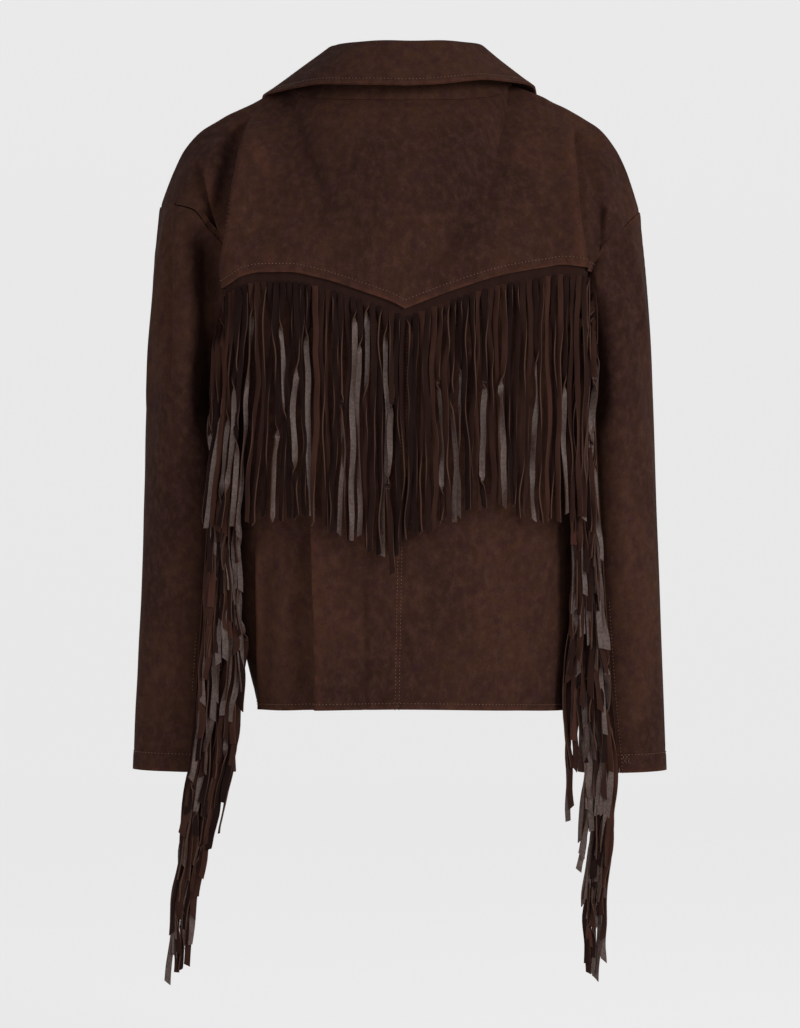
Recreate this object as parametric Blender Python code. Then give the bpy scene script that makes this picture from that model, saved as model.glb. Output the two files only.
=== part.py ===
"""A fringed suede jacket, open and filled out as if on a wearer who isn't there.

The jacket's back faces -Y and its fronts face +Y, so +X is the wearer's right. The origin is
the middle of the neck opening, where the wearer's neck and shoulders carry the jacket.
The tables are in millimetres, and MM turns them into metres.

Body and sleeves are walls that hang between smooth rails. A body panel spans from a centre
rail to an edge rail (the armhole, then the side seam), and a sleeve is a tube of slanted
ovals that starts on the armhole.
"""

import math
from collections import namedtuple

import bmesh
import bpy
import numpy as np

MM = 0.001

CLOTH = 1.6  # suede, seams included
COLLAR_CLOTH = 2.2  # two layers of suede
SEAM_GAP = 0.3
STRIP_GAP = 0.8  # under the back fringe's strip
SLEEVE_STRIP_GAP = 1.7  # more, because the sleeve turns under its strip

LEFT, RIGHT = -1, 1
BACK, FRONT = -1, 1
SIDE_NAMES = {LEFT: "left", RIGHT: "right"}

# ---- the neck and the shoulder ridge ----
NECK_HALF = 108.0
NECK_DEPTH = {BACK: 65.0, FRONT: 72.0}
NeckHeight = namedtuple("NeckHeight", "share z")  # share of NECK_HALF out from the middle
NECK_HEIGHT = {
    BACK: [
        NeckHeight(0.00, -5.0),
        NeckHeight(0.50, -3.5),
        NeckHeight(0.77, 0.0),
        NeckHeight(0.91, 5.0),
        NeckHeight(1.00, 16.0),
    ],
    FRONT: [
        NeckHeight(0.00, -78.0),
        NeckHeight(0.45, -64.0),
        NeckHeight(0.77, -36.0),
        NeckHeight(0.93, -10.0),
        NeckHeight(1.00, 16.0),
    ],
}
Ridge = namedtuple("Ridge", "out z")  # the shoulder line, falling faster towards the drop
RIDGE = {
    LEFT: [
        Ridge(108, 16),
        Ridge(125, 8),
        Ridge(137, 2.5),
        Ridge(147, -3),
        Ridge(160, -9),
        Ridge(172, -14.5),
        Ridge(183, -21),
        Ridge(199, -31),
        Ridge(216, -50),
        Ridge(226, -70),
        Ridge(234, -90),
        Ridge(240, -107),
    ],
    RIGHT: [
        Ridge(108, 16),
        Ridge(125, 10.5),
        Ridge(143, 3.5),
        Ridge(153, -2),
        Ridge(164, -7),
        Ridge(175, -13),
        Ridge(185, -19),
        Ridge(200, -29),
        Ridge(216, -49),
        Ridge(226, -69),
        Ridge(233, -89),
        Ridge(240, -112),
    ],
}

# ---- the rails of the body ----
# share runs from the neck and shoulder (0) to the hem (1).
Centre = namedtuple("Centre", "share x depth z")
CENTRE = {
    BACK: [
        Centre(0.00, 5, 65, -5),
        Centre(0.12, 5, 92, -45),
        Centre(0.25, 5, 113, -95),
        Centre(0.37, 5, 124, -150),
        Centre(0.50, 5, 127, -222),
        Centre(0.62, 4, 123, -305),
        Centre(0.80, 0, 119, -447),
        Centre(1.00, -3, 117, -604),
    ],
    FRONT: [
        Centre(0.00, 0, 72, -78),
        Centre(0.12, 0, 96, -112),
        Centre(0.25, 0, 114, -152),
        Centre(0.37, 0, 124, -195),
        Centre(0.50, 0, 128, -250),
        Centre(0.62, 0, 127, -325),
        Centre(0.80, 0, 125, -460),
        Centre(1.00, 0, 124, -611),
    ],
}
# The back half of each armhole, from the drop of the shoulder to the underarm.
Armhole = namedtuple("Armhole", "out depth z")
ARMHOLE = {
    LEFT: [
        Armhole(240, 0, -107),
        Armhole(229, 28, -107),
        Armhole(204, 60, -114),
        Armhole(190, 71, -131),
        Armhole(171, 81, -157),
        Armhole(168, 78, -195),
        Armhole(167, 48, -234),
        Armhole(166, 0, -250),
    ],
    RIGHT: [
        Armhole(240, 0, -112),
        Armhole(230, 26, -121),
        Armhole(214, 48, -137),
        Armhole(199, 66, -153),
        Armhole(186, 77, -170),
        Armhole(179, 76, -198),
        Armhole(176, 46, -236),
        Armhole(175, 0, -252),
    ],
}
ARMHOLE_END = 0.5  # the share of a body panel's height where its armhole ends
Side = namedtuple("Side", "share out z")
SIDE = {
    LEFT: [
        Side(0.50, 166, -250),
        Side(0.57, 164, -300),
        Side(0.71, 165, -400),
        Side(0.85, 158, -500),
        Side(0.97, 146, -585),
        Side(1.00, 142, -601),
    ],
    RIGHT: [
        Side(0.50, 175, -252),
        Side(0.57, 173, -300),
        Side(0.71, 175, -400),
        Side(0.85, 174, -500),
        Side(1.00, 169, -608),
    ],
}
Roundness = namedtuple("Roundness", "share power")  # 2 is an ellipse, more is boxier
ROUNDNESS = [Roundness(0.0, 2.3), Roundness(0.3, 2.7), Roundness(0.5, 3.0), Roundness(1.0, 2.5)]
SHOULDER_REACH = 0.4  # how far down the panel the shoulder line still shapes it
SHOULDER_FADE = 2.2
DROP = 1.6  # how late a row of the body falls towards its edge

# ---- the body's columns, close together where the cloth folds by the armhole ----
COLUMNS = (0.0, 0.08, 0.16, 0.23, 0.30, 0.42, 0.53, 0.63, 0.70, 0.76, 0.82, 0.90, 1.0)

# ---- the yoke ----
YokeEdge = namedtuple("YokeEdge", "out z")  # out from the middle of the back
YOKE_EDGE = {
    LEFT: [
        YokeEdge(0, -215.5),
        YokeEdge(11, -209.5),
        YokeEdge(40, -199),
        YokeEdge(80, -186),
        YokeEdge(113, -179.5),
        YokeEdge(139, -179.5),
        YokeEdge(159, -183.5),
        YokeEdge(175, -195),
    ],
    RIGHT: [
        YokeEdge(0, -215.5),
        YokeEdge(25, -205.5),
        YokeEdge(54, -195),
        YokeEdge(94, -182.5),
        YokeEdge(134, -175),
        YokeEdge(153, -172),
        YokeEdge(169, -173),
        YokeEdge(182, -176),
    ],
}
YOKE_LAP = 20.0  # the back panels run this far up under the yoke
YOKE_LIFT = 4.4
YOKE_LIFT_RUN = 60.0
STRIP_UP, STRIP_DOWN = 8.0, 10.0  # the fringe's uncut strip, above and below the yoke edge
YOKE_ROWS = 6
ARM_ROWS = 2  # from the fringe's strip down to the underarm
SKIRT_ROWS = 7  # from the underarm to the hem
FRONT_ROWS = 12  # half of them down to the underarm

# ---- folds that the hanging cloth makes: a soft ridge (+) or trough (-) along a line ----
Fold = namedtuple("Fold", "x0 z0 x1 z1 width depth")
FOLDS = {
    BACK: [
        Fold(-148, -30, -166, -180, 12, 5),
        Fold(-164, -40, -186, -140, 10, -9),
        Fold(166, -36, 176, -172, 12, 5),
        Fold(184, -50, 196, -146, 10, -8),
        Fold(-133, -470, -137, -611, 9, -6),
        Fold(-97, -500, -93, -611, 12, -4),
        Fold(120, -520, 128, -611, 14, -4),
    ],
    FRONT: [
        Fold(-150, -50, -164, -190, 12, 5),
        Fold(-168, -60, -184, -150, 10, -8),
        Fold(152, -50, 166, -190, 12, 5),
        Fold(170, -60, 188, -150, 10, -8),
        Fold(-112, -440, -122, -611, 12, -5),
        Fold(104, -470, 112, -611, 13, -5),
    ],
}

# ---- the front lap and its buttons ----
LAP = 15.0
LAP_LIFT = 2.4
LAP_RUN = 22.0
BUTTONS = 5
BUTTON_TOP, BUTTON_BOTTOM = -128.0, -548.0
BUTTON_RADIUS, BUTTON_HEIGHT = 10.0, 3.2
BUTTON_SIDES = 14

# ---- sleeves ----
# inner is the line against the body, and depth is from the middle to the back and front.
Sleeve = namedtuple("Sleeve", "share outer outer_z inner inner_z depth")
SLEEVE = {
    LEFT: [
        Sleeve(0.00, 240, -107, 166, -250, 81),
        Sleeve(0.12, 246, -172, 169, -288, 80),
        Sleeve(0.28, 251, -262, 172, -352, 75),
        Sleeve(0.48, 254, -370, 172, -440, 65),
        Sleeve(0.74, 259.5, -515, 167, -555, 47),
        Sleeve(1.00, 265.5, -668, 162, -671, 32),
    ],
    RIGHT: [
        Sleeve(0.00, 240, -112, 175, -252, 81),
        Sleeve(0.12, 246, -176, 177, -290, 80),
        Sleeve(0.28, 251, -264, 179, -353, 75),
        Sleeve(0.48, 254.5, -370, 180, -440, 66),
        Sleeve(0.74, 260, -515, 178, -555, 50),
        Sleeve(1.00, 265.5, -669, 176, -671, 38),
    ],
}
ARMHOLE_REACH = 0.3  # how far down the sleeve the armhole still shapes it
SHARED_RING = 0.75  # how far round the armhole, from the shoulder, its two edges are parallel
SLEEVE_SHIFT = (0.55, -0.4)  # away from the body's edge
UNDERARM_SHIFT = 0.6  # further out where the seam turns under the arm
SeamTurn = namedtuple("SeamTurn", "share degrees")  # round the sleeve from its outer line
SEAM_TURN = {
    BACK: [
        SeamTurn(0.00, 97),
        SeamTurn(0.15, 113),
        SeamTurn(0.35, 118),
        SeamTurn(0.60, 113),
        SeamTurn(0.80, 106),
        SeamTurn(1.00, 95),
    ],
    FRONT: [SeamTurn(0.00, 120), SeamTurn(1.00, 100)],
}
SLEEVE_ROWS = 12
SLEEVE_SPREAD = 0.25  # where the sleeve's columns stop following the body's rows
SLEEVE_RADIUS = 55.0  # a middling one, to turn small widths into angles
SleeveFold = namedtuple("SleeveFold", "degrees share0 share1 width depth")
SLEEVE_FOLDS = [
    SleeveFold(35, 0.0, 0.30, 9, 3.0),
    SleeveFold(58, 0.0, 0.14, 8, -4.0),
    SleeveFold(-40, 0.0, 0.25, 10, 3.0),
    SleeveFold(-70, 0.0, 0.16, 9, -4.0),
]

# ---- the collar ----
# One row for each turn from the middle of the back (0) to the front: the top of the roll and
# the edge of the fall. The foot stands on the neck seam.
Collar = namedtuple("Collar", "turn top edge")
COLLAR = [
    Collar(0, (0, -43, 53), (0, -84, 8)),
    Collar(25, (32, -39, 54), (44, -79, 10)),
    Collar(50, (54, -26, 55), (86, -62, 13)),
    Collar(72, (62, -12, 55), (114, -34, 11)),
    Collar(90, (67, 2, 54), (136, 2, 7)),
    Collar(112, (73, 22, 38), (141, 48, -22)),
    Collar(135, (74, 48, 0), (128, 96, -76)),
    Collar(158, (47, 76, -38), (98, 128, -128)),
    Collar(170, (24, 86, -56), (40, 128, -122)),
]
COLLAR_LEAN = 4.5  # the collar sits this far to the right of the neck seam
COLLAR_RISE = 1.5  # from the neck seam to the collar's foot
COLLAR_COLUMNS = 15
ROLL_RADIUS = 4.0
STAND_POINTS, ROLL_POINTS, FALL_POINTS = 3, 3, 4
FALL_BOW = 1.5

# ---- fringe ----
STRIP_CLOTH = 1.4
STRAND_WIDTH, STRAND_CLOTH = 4.4, 1.2
BACK_STRANDS = 60
HANG_DEPTH = 97.0  # the end strands are pushed out to here by the sleeve fringe
STAGGER = 2.6  # every other strand hangs this much further out
SPREAD_STRANDS = 4  # but for the first ones, which spread apart
StrandEnd = namedtuple("StrandEnd", "root x z")  # where strands with roots there end
BACK_ENDS = [
    StrandEnd(-175, -200, -427),
    StrandEnd(-150, -165, -426),
    StrandEnd(-120, -124, -418),
    StrandEnd(-96, -97, -414),
    StrandEnd(-66, -66, -432),
    StrandEnd(-40, -40, -438),
    StrandEnd(-16, -16, -456),
    StrandEnd(-8, -9, -466),
    StrandEnd(4, 3, -444),
    StrandEnd(34, 34, -425),
    StrandEnd(56, 56, -416),
    StrandEnd(96, 96, -402),
    StrandEnd(120, 119, -412),
    StrandEnd(150, 149, -417),
    StrandEnd(180, 179, -416),
]
SLEEVE_STRANDS = 64
LANES = 4
LANE_SHIFT = 0.62  # the share of a lane that the next group of strands hangs further over
LANE_STRAND_WIDTH, LANE_STRAND_CLOTH = 3.8, 1.1
LAYER_STEP = 1.9  # from one group of strands to the next that hangs over it
LANE_STEP = 0.15  # the same between the strands of a group
SLANT = math.radians(38)  # from upright, where a strand leaves the seam for its lane
FIRST_RUN, FIRST_DROP, FIRST_LIFT = 2.6, 1.5, 1.0  # a strand's first ring: in, down and out
FIRST_TURN = math.radians(45)  # its slant there
FIRST_WIDTH = 0.7  # and the share of its width there
ROOT_REACH = 11.0  # the least that it falls before it hangs free
ROOT_LIFT = 2.2  # how far it hangs off the strip there
LEVEL_STEP = 60.0  # strands bend at the same heights, so that they stay apart between them
ROOT_RUN = 6.0  # width of the strip that the sleeve strands are cut from
SLEEVE_STRAND_LENGTH = 216.0
# The sleeve fringe's outer line (from the seam above the cuff), width and depth at each height.
Bundle = namedtuple("Bundle", "z drift width depth")
BUNDLE = {
    LEFT: [
        Bundle(-885, 29, 19, 44),
        Bundle(-850, 26, 19, 45),
        Bundle(-805, 25, 23, 45),
        Bundle(-786, 23, 26, 45),
        Bundle(-766, 19, 31, 45),
        Bundle(-745, 16, 35, 45),
        Bundle(-690, 9, 39, 46),
        Bundle(-660, 3, 39, 48),
        Bundle(-590, 2, 42, 54),
        Bundle(-500, 2, 34, 67),
        Bundle(-430, 2, 26, 76),
        Bundle(-320, 3, 20, 86),
        Bundle(-250, 5, 18, 92),
        Bundle(-190, 6, 18, 92),
    ],
    RIGHT: [
        Bundle(-885, -11, 18, 48),
        Bundle(-850, -8, 18, 49),
        Bundle(-805, -7, 18, 50),
        Bundle(-786, -6, 18, 50),
        Bundle(-766, -5, 24, 50),
        Bundle(-746, -3, 32, 50),
        Bundle(-726, -1, 42, 50),
        Bundle(-690, 1, 44, 51),
        Bundle(-640, 2, 44, 53),
        Bundle(-590, 2, 40, 57),
        Bundle(-500, 2, 30, 69),
        Bundle(-430, 2, 24, 77),
        Bundle(-320, 3, 21, 87),
        Bundle(-250, 4, 18, 92),
        Bundle(-190, 5, 18, 92),
    ],
}

SUEDE, SUEDE_EDGE, HORN = "suede", "suede fringe", "horn button"
FINISHES = {
    SUEDE: ("35231d", 0.93),
    SUEDE_EDGE: ("3a2822", 0.8),
    HORN: ("2a1c16", 0.4),
}


def column(rows, name):
    """One named column of a table, as an array."""
    return np.array([getattr(row, name) for row in rows], float)


def through(knots, values, at):
    """Values on a smooth curve through a table's rows, which never swings past them."""
    order = np.argsort(knots)
    knots, values = np.asarray(knots, float)[order], np.asarray(values, float)[order]
    step = np.diff(knots)
    slope = np.diff(values) / step
    before, after = slope[:-1], slope[1:]
    total = np.where(before * after > 0, before + after, 1.0)
    inner = np.where(before * after > 0, 2 * before * after / total, 0.0)
    tangent = np.concatenate([slope[:1], inner, slope[-1:]])
    at = np.clip(np.asarray(at, float), knots[0], knots[-1])
    i = np.clip(np.searchsorted(knots, at, side="right") - 1, 0, len(step) - 1)
    t = (at - knots[i]) / step[i]
    ease = t * t * (3 - 2 * t)
    bend = step[i] * (tangent[i] * t * (1 - t) ** 2 - tangent[i + 1] * t * t * (1 - t))
    return values[i] + (values[i + 1] - values[i]) * ease + bend


def table(rows, knot, name, at):
    """A table's column, read smoothly at values of its knot column."""
    return through(column(rows, knot), column(rows, name), at)


def smoothstep(t):
    t = np.clip(t, 0.0, 1.0)
    return t * t * (3 - 2 * t)


def crease(x, z, folds):
    """How far the folds push the cloth out at points seen square on."""
    push = np.zeros(np.broadcast(x, z).shape)
    for fold in folds:
        run = np.array([fold.x1 - fold.x0, fold.z1 - fold.z0], float)
        t = ((x - fold.x0) * run[0] + (z - fold.z0) * run[1]) / (run @ run)
        t = np.clip(t, 0.0, 1.0)
        away = np.hypot(x - fold.x0 - t * run[0], z - fold.z0 - t * run[1])
        push += fold.depth * np.exp(-((away / fold.width) ** 2))
    return push


# ---- surfaces ----


def armhole_point(side, face, share):
    """A point of the armhole, from the shoulder's drop (0) to the underarm (1)."""
    rows = ARMHOLE[side]
    points = np.array([(row.out, row.depth, row.z) for row in rows], float)
    walk = np.concatenate([[0], np.cumsum(np.linalg.norm(np.diff(points, axis=0), axis=1))])
    out, depth, z = (through(walk / walk[-1], points[:, k], share) for k in range(3))
    return np.stack([side * out, face * depth, z], axis=-1)


def body_edge(side, face, share):
    """A point of the body panel's outer edge: the armhole, then the side seam."""
    arm = armhole_point(side, face, np.clip(share / ARMHOLE_END, 0, 1))
    out = table(SIDE[side], "share", "out", share)
    z = table(SIDE[side], "share", "z", share)
    seam = np.stack([side * out, np.zeros_like(out), z], axis=-1)
    return np.where((share <= ARMHOLE_END)[..., None], arm, seam)


def body_row(side, face, u, share):
    """A point of the body without the shoulder line's own shape."""
    centre = CENTRE[face]
    x0 = table(centre, "share", "x", share)
    y0 = face * table(centre, "share", "depth", share)
    z0 = table(centre, "share", "z", share)
    edge = body_edge(side, face, share)
    power = table(ROUNDNESS, "share", "power", share)
    r = np.sin(np.pi * u / 2)
    bulge = (1 - np.clip(np.abs(r), 0, 1) ** power) ** (1 / power)
    x = x0 + (edge[..., 0] - x0) * r
    y = edge[..., 1] + (y0 - edge[..., 1]) * bulge
    z = z0 + (edge[..., 2] - z0) * np.abs(r) ** DROP
    return np.stack([x, y, z], axis=-1)


def body(side, face, u, share):
    """A point of the body's outer face: u runs from the middle to the edge."""
    u, share = np.broadcast_arrays(np.asarray(u, float), np.asarray(share, float))
    point = body_row(side, face, u, share)
    top = body_row(side, face, u, np.zeros_like(share))
    out = np.abs(top[..., 0])
    in_neck = out < NECK_HALF
    across = np.clip(out / NECK_HALF, 0, 1)
    neck_y = face * NECK_DEPTH[face] * np.sqrt(1 - across**2)
    want_y = np.where(in_neck, neck_y, 0.0)
    want_z = np.where(
        in_neck,
        table(NECK_HEIGHT[face], "share", "z", across),
        table(RIDGE[side], "out", "z", out),
    )
    fade = np.clip(1 - share / SHOULDER_REACH, 0, 1) ** SHOULDER_FADE
    point[..., 1] += (want_y - top[..., 1]) * fade
    point[..., 2] += (want_z - top[..., 2]) * fade * smoothstep((1 - np.abs(u)) / 0.06)
    near_edge = smoothstep((1 - np.abs(u)) / 0.08) * smoothstep(share / 0.06)
    point[..., 1] += face * near_edge * crease(point[..., 0], point[..., 2], FOLDS[face])
    return point


def sleeve_oval(side, turn, share):
    rows = SLEEVE[side]
    outer, inner = table(rows, "share", "outer", share), table(rows, "share", "inner", share)
    top, low = table(rows, "share", "outer_z", share), table(rows, "share", "inner_z", share)
    across, round_it = np.cos(turn), np.sin(turn)
    x = side * ((outer + inner) / 2 + (outer - inner) / 2 * across)
    y = -table(rows, "share", "depth", share) * round_it
    z = (top + low) / 2 + (top - low) / 2 * across
    return np.stack([x, y, z], axis=-1)


def sleeve(side, turn, share):
    """A point of the sleeve's outer face. turn is 0 on the outer line and 90 degrees behind."""
    turn, share = np.broadcast_arrays(np.asarray(turn, float), np.asarray(share, float))
    turn = (turn + np.pi) % (2 * np.pi) - np.pi
    point = sleeve_oval(side, turn, share)
    start = sleeve_oval(side, turn, np.zeros_like(share))
    behind = armhole_point(side, BACK, np.abs(turn) / np.pi)
    before = armhole_point(side, FRONT, np.abs(turn) / np.pi)
    armhole = np.where((turn >= 0)[..., None], behind, before)
    fade = np.clip(1 - share / ARMHOLE_REACH, 0, 1) ** 2
    point = point + (armhole - start) * fade[..., None]
    push = np.zeros(turn.shape)
    for fold in SLEEVE_FOLDS:
        reach = smoothstep((fold.share1 - share) / 0.1) * smoothstep((share - fold.share0) / 0.03)
        away = np.degrees(turn) - fold.degrees
        push += fold.depth * reach * np.exp(-((away / fold.width) ** 2))
    out = np.stack([side * np.cos(turn), -np.sin(turn), np.zeros(turn.shape)], axis=-1)
    point = point + out * push[..., None]
    point[..., 0] += side * UNDERARM_SHIFT * smoothstep((np.abs(turn) / np.pi - 0.6) / 0.3)
    return point + np.array([side * SLEEVE_SHIFT[0], 0.0, SLEEVE_SHIFT[1]])


def normals(surface, u, v, outward):
    """Unit normals of a surface by small steps, turned to the side that outward gives."""
    small = 1e-3
    along_u = surface(u + small, v) - surface(u - small, v)
    along_v = surface(u, v + small) - surface(u, v - small)
    normal = np.cross(along_u, along_v)
    normal /= np.maximum(np.linalg.norm(normal, axis=-1, keepdims=True), 1e-9)
    turned = (normal * outward).sum(axis=-1, keepdims=True) < 0
    return np.where(turned, -normal, normal)


def without(normal, axis, rows):
    """Normals of some rows kept square to an axis, so that seam edges lie in one plane."""
    flat = normal[rows]
    flat[..., axis] = 0
    flat /= np.maximum(np.linalg.norm(flat, axis=-1, keepdims=True), 1e-9)
    normal[rows] = flat


def add_wall(name, outer, inner, finish, closed=False):
    """A wall between an outer and an inner grid of points, with its rim closed."""
    rows, columns = outer.shape[:2]
    mesh = bpy.data.meshes.new(name)
    form = bmesh.new()
    grids = [
        [[form.verts.new(point * MM) for point in line] for line in grid]
        for grid in (outer, inner)
    ]
    last = columns if closed else columns - 1
    for grid in grids:
        for i in range(rows - 1):
            for j in range(last):
                k = (j + 1) % columns
                form.faces.new((grid[i][j], grid[i][k], grid[i + 1][k], grid[i + 1][j]))
    rim = [((0, j), (0, (j + 1) % columns)) for j in range(last)]
    rim += [((rows - 1, j), (rows - 1, (j + 1) % columns)) for j in range(last)]
    if not closed:
        rim += [((i, 0), (i + 1, 0)) for i in range(rows - 1)]
        rim += [((i, columns - 1), (i + 1, columns - 1)) for i in range(rows - 1)]
    for (a, b), (c, d) in rim:
        form.faces.new((grids[0][a][b], grids[0][c][d], grids[1][c][d], grids[1][a][b]))
    finish_mesh(form, mesh)
    return add_object(name, mesh, finish)


def finish_mesh(form, mesh):
    bmesh.ops.recalc_face_normals(form, faces=form.faces)
    if form.calc_volume(signed=True) < 0:
        bmesh.ops.reverse_faces(form, faces=form.faces)
    bmesh.ops.triangulate(form, faces=form.faces)
    form.to_mesh(mesh)
    form.free()


def add_object(name, mesh, finish):
    mesh.shade_smooth()
    mesh.set_sharp_from_angle(angle=math.radians(50))
    mesh.materials.append(material(finish))
    piece = bpy.data.objects.new(name, mesh)
    bpy.context.scene.collection.objects.link(piece)
    piece.parent = bpy.data.objects["jacket"]
    return piece


def material(finish):
    found = bpy.data.materials.get(finish)
    if found:
        return found
    colour, roughness = FINISHES[finish]
    made = bpy.data.materials.new(finish)
    made.use_nodes = True
    shader = made.node_tree.nodes["Principled BSDF"]
    parts = [int(colour[k : k + 2], 16) / 255 for k in (0, 2, 4)]
    linear = [c / 12.92 if c <= 0.04045 else ((c + 0.055) / 1.055) ** 2.4 for c in parts]
    shader.inputs["Base Color"].default_value = (*linear, 1.0)
    shader.inputs["Roughness"].default_value = roughness
    shader.inputs["Metallic"].default_value = 0.0
    return made


# ---- the body ----


def share_at_yoke(side, u, above):
    """The share where a column meets the line that runs above the yoke edge by that much."""
    low, high = np.full(len(u), 0.08), np.full(len(u), 0.9)
    for _ in range(40):
        middle = (low + high) / 2
        x, _, z = np.moveaxis(body(side, BACK, u, middle), -1, 0)
        line = table(YOKE_EDGE[side], "out", "z", side * (x - CENTRE[BACK][0].x)) + above
        over = z > line
        low, high = np.where(over, middle, low), np.where(over, high, middle)
    return (low + high) / 2


def armhole_normal(side, face, ring):
    """The direction across the armhole seam, halfway between the body's and the sleeve's."""
    ring = np.asarray(ring, float)
    turn = -face * np.pi * ring
    square = np.stack([side * np.cos(turn), face * np.sin(np.pi * ring), 0 * turn], axis=-1)
    share = ring * ARMHOLE_END

    def body_surface(a, b):
        return body(side, face, a, b)

    def sleeve_surface(a, b):
        return sleeve(side, a, b)

    near = np.clip(share, 0.01, ARMHOLE_END - 0.01)
    first = normals(body_surface, np.full(ring.shape, 0.97), near, np.array([0, face, 0.2]))
    second = normals(sleeve_surface, turn, np.full(ring.shape, 0.01), square)
    both = first + second
    return both / np.linalg.norm(both, axis=-1, keepdims=True)


def body_grid(side, face, u, shares):
    """Outer points and normals of a part of the body, a row for each list of shares."""
    shares = np.asarray(shares, float)
    u = np.broadcast_to(np.asarray(u, float), shares.shape)

    def surface(a, b):
        return body(side, face, np.clip(a, -0.99, 1), np.clip(b, 0, 1))

    points = body(side, face, u, shares)
    outward = np.stack([side * u**4, face + 0 * u, 0.2 + 0 * u], axis=-1)
    normal = normals(surface, u, shares, outward)
    at_side = (np.abs(u) > 0.999) & (shares > ARMHOLE_END - 0.001)
    without(normal, 1, at_side)
    ring = shares / ARMHOLE_END
    at_armhole = (u > 0.999) & (ring < SHARED_RING)
    if at_armhole.any():
        normal[at_armhole] = armhole_normal(side, face, ring[at_armhole])
    at_shoulder = (shares < 0.001) & (np.abs(points[..., 0]) > NECK_HALF)
    without(normal, 1, at_shoulder)
    points[..., 1] += face * SEAM_GAP / 2
    return points, normal


def yoke_shares(side):
    """The shares of the rows that the yoke, its fringe and the back panels have in common."""
    u = np.array(COLUMNS)
    return [share_at_yoke(side, u, above) for above in (YOKE_LAP, STRIP_UP, 0.0, -STRIP_DOWN)]


def build_yoke():
    halves = []
    for side in (LEFT, RIGHT):
        lap, strip, edge, _ = yoke_shares(side)
        shares = [lap * k / YOKE_ROWS for k in range(YOKE_ROWS + 1)] + [strip, edge]
        points, normal = body_grid(side, BACK, COLUMNS, shares)
        below = points[..., 2] - points[-1, :, 2]
        lift = YOKE_LIFT * smoothstep(1 - below / YOKE_LIFT_RUN)
        outer = points + normal * lift[..., None]
        halves.append((outer, outer - normal * CLOTH))
    left, right = halves
    grids = [np.concatenate([left[k][:, ::-1], right[k][:, 1:]], axis=1) for k in range(2)]
    for k in range(2):
        middle = len(COLUMNS) - 1
        grids[k][:, middle] = (left[k][:, 0] + right[k][:, 0]) / 2
    add_wall("yoke_back", *grids, SUEDE)


def back_shares(side):
    """The rows of a back panel: under the yoke, down the armhole to the underarm, to the hem."""
    rows = yoke_shares(side)
    below = rows[-1]
    underarm = np.maximum(ARMHOLE_END, below + 0.04)
    rows += [below + (underarm - below) * k / ARM_ROWS for k in range(1, ARM_ROWS + 1)]
    rows += [underarm + (1 - underarm) * k / SKIRT_ROWS for k in range(1, SKIRT_ROWS + 1)]
    return rows


def build_backs():
    for side in (LEFT, RIGHT):
        points, normal = body_grid(side, BACK, COLUMNS, back_shares(side))
        normal_x = np.zeros(points.shape[:2], bool)
        normal_x[:, 0] = True
        without(normal, 0, normal_x)
        points[..., 0] += side * SEAM_GAP / 2
        add_wall(f"back_{SIDE_NAMES[side]}", points, points - normal * CLOTH, SUEDE)


def front_columns(side):
    """The front's columns, from past the middle, where the fronts lap, to the edge."""
    reach = LAP / 168 * 2 / np.pi
    return np.array([-reach, 0.0, reach, *COLUMNS[1:]])


def build_fronts():
    for side in (LEFT, RIGHT):
        u = front_columns(side)
        shares = [np.full(len(u), k / FRONT_ROWS) for k in range(FRONT_ROWS + 1)]
        points, normal = body_grid(side, FRONT, u, shares)
        if side == RIGHT:
            over = smoothstep((LAP + LAP_RUN - points[..., 0]) / LAP_RUN)
            points = points + normal * (LAP_LIFT * over)[..., None]
        add_wall(f"front_{SIDE_NAMES[side]}", points, points - normal * CLOTH, SUEDE)


def front_at(z):
    """The point and normal of the lapped front at the middle, at a height."""
    low, high = 0.0, 1.0
    for _ in range(40):
        middle = (low + high) / 2
        above = body(RIGHT, FRONT, 0.0, middle)[2] > z
        low, high = (middle, high) if above else (low, middle)
    point, normal = body_grid(RIGHT, FRONT, [0.0], [[low]])
    return point[0, 0] + normal[0, 0] * LAP_LIFT, normal[0, 0]


def build_buttons():
    """Turned buttons with a domed face and a rim, square to the front lap."""
    profile = [
        (BUTTON_RADIUS * 0.94, 0.0),
        (BUTTON_RADIUS, BUTTON_HEIGHT * 0.35),
        (BUTTON_RADIUS * 0.88, BUTTON_HEIGHT * 0.9),
        (BUTTON_RADIUS * 0.7, BUTTON_HEIGHT * 0.7),
    ]
    for k in range(BUTTONS):
        z = BUTTON_TOP + (BUTTON_BOTTOM - BUTTON_TOP) * k / (BUTTONS - 1)
        seat, normal = front_at(z)
        form = bmesh.new()
        rings = []
        for radius, height in profile:
            turns = [2 * math.pi * j / BUTTON_SIDES for j in range(BUTTON_SIDES)]
            ring = [(radius * math.cos(t), radius * math.sin(t), height) for t in turns]
            rings.append([form.verts.new(np.array(corner) * MM) for corner in ring])
        for a, b in zip(rings, rings[1:]):
            for j in range(BUTTON_SIDES):
                n = (j + 1) % BUTTON_SIDES
                form.faces.new((a[j], a[n], b[n], b[j]))
        form.faces.new(rings[0][::-1])
        form.faces.new(rings[-1])
        mesh = bpy.data.meshes.new(f"button_{k + 1}")
        finish_mesh(form, mesh)
        button = add_object(f"button_{k + 1}", mesh, HORN)
        button.location = (seat + normal * (SEAM_GAP + 0.4)) * MM
        button.rotation_euler = (-math.acos(np.clip(normal[2], -1, 1)), 0, 0)


# ---- the sleeves ----


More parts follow.
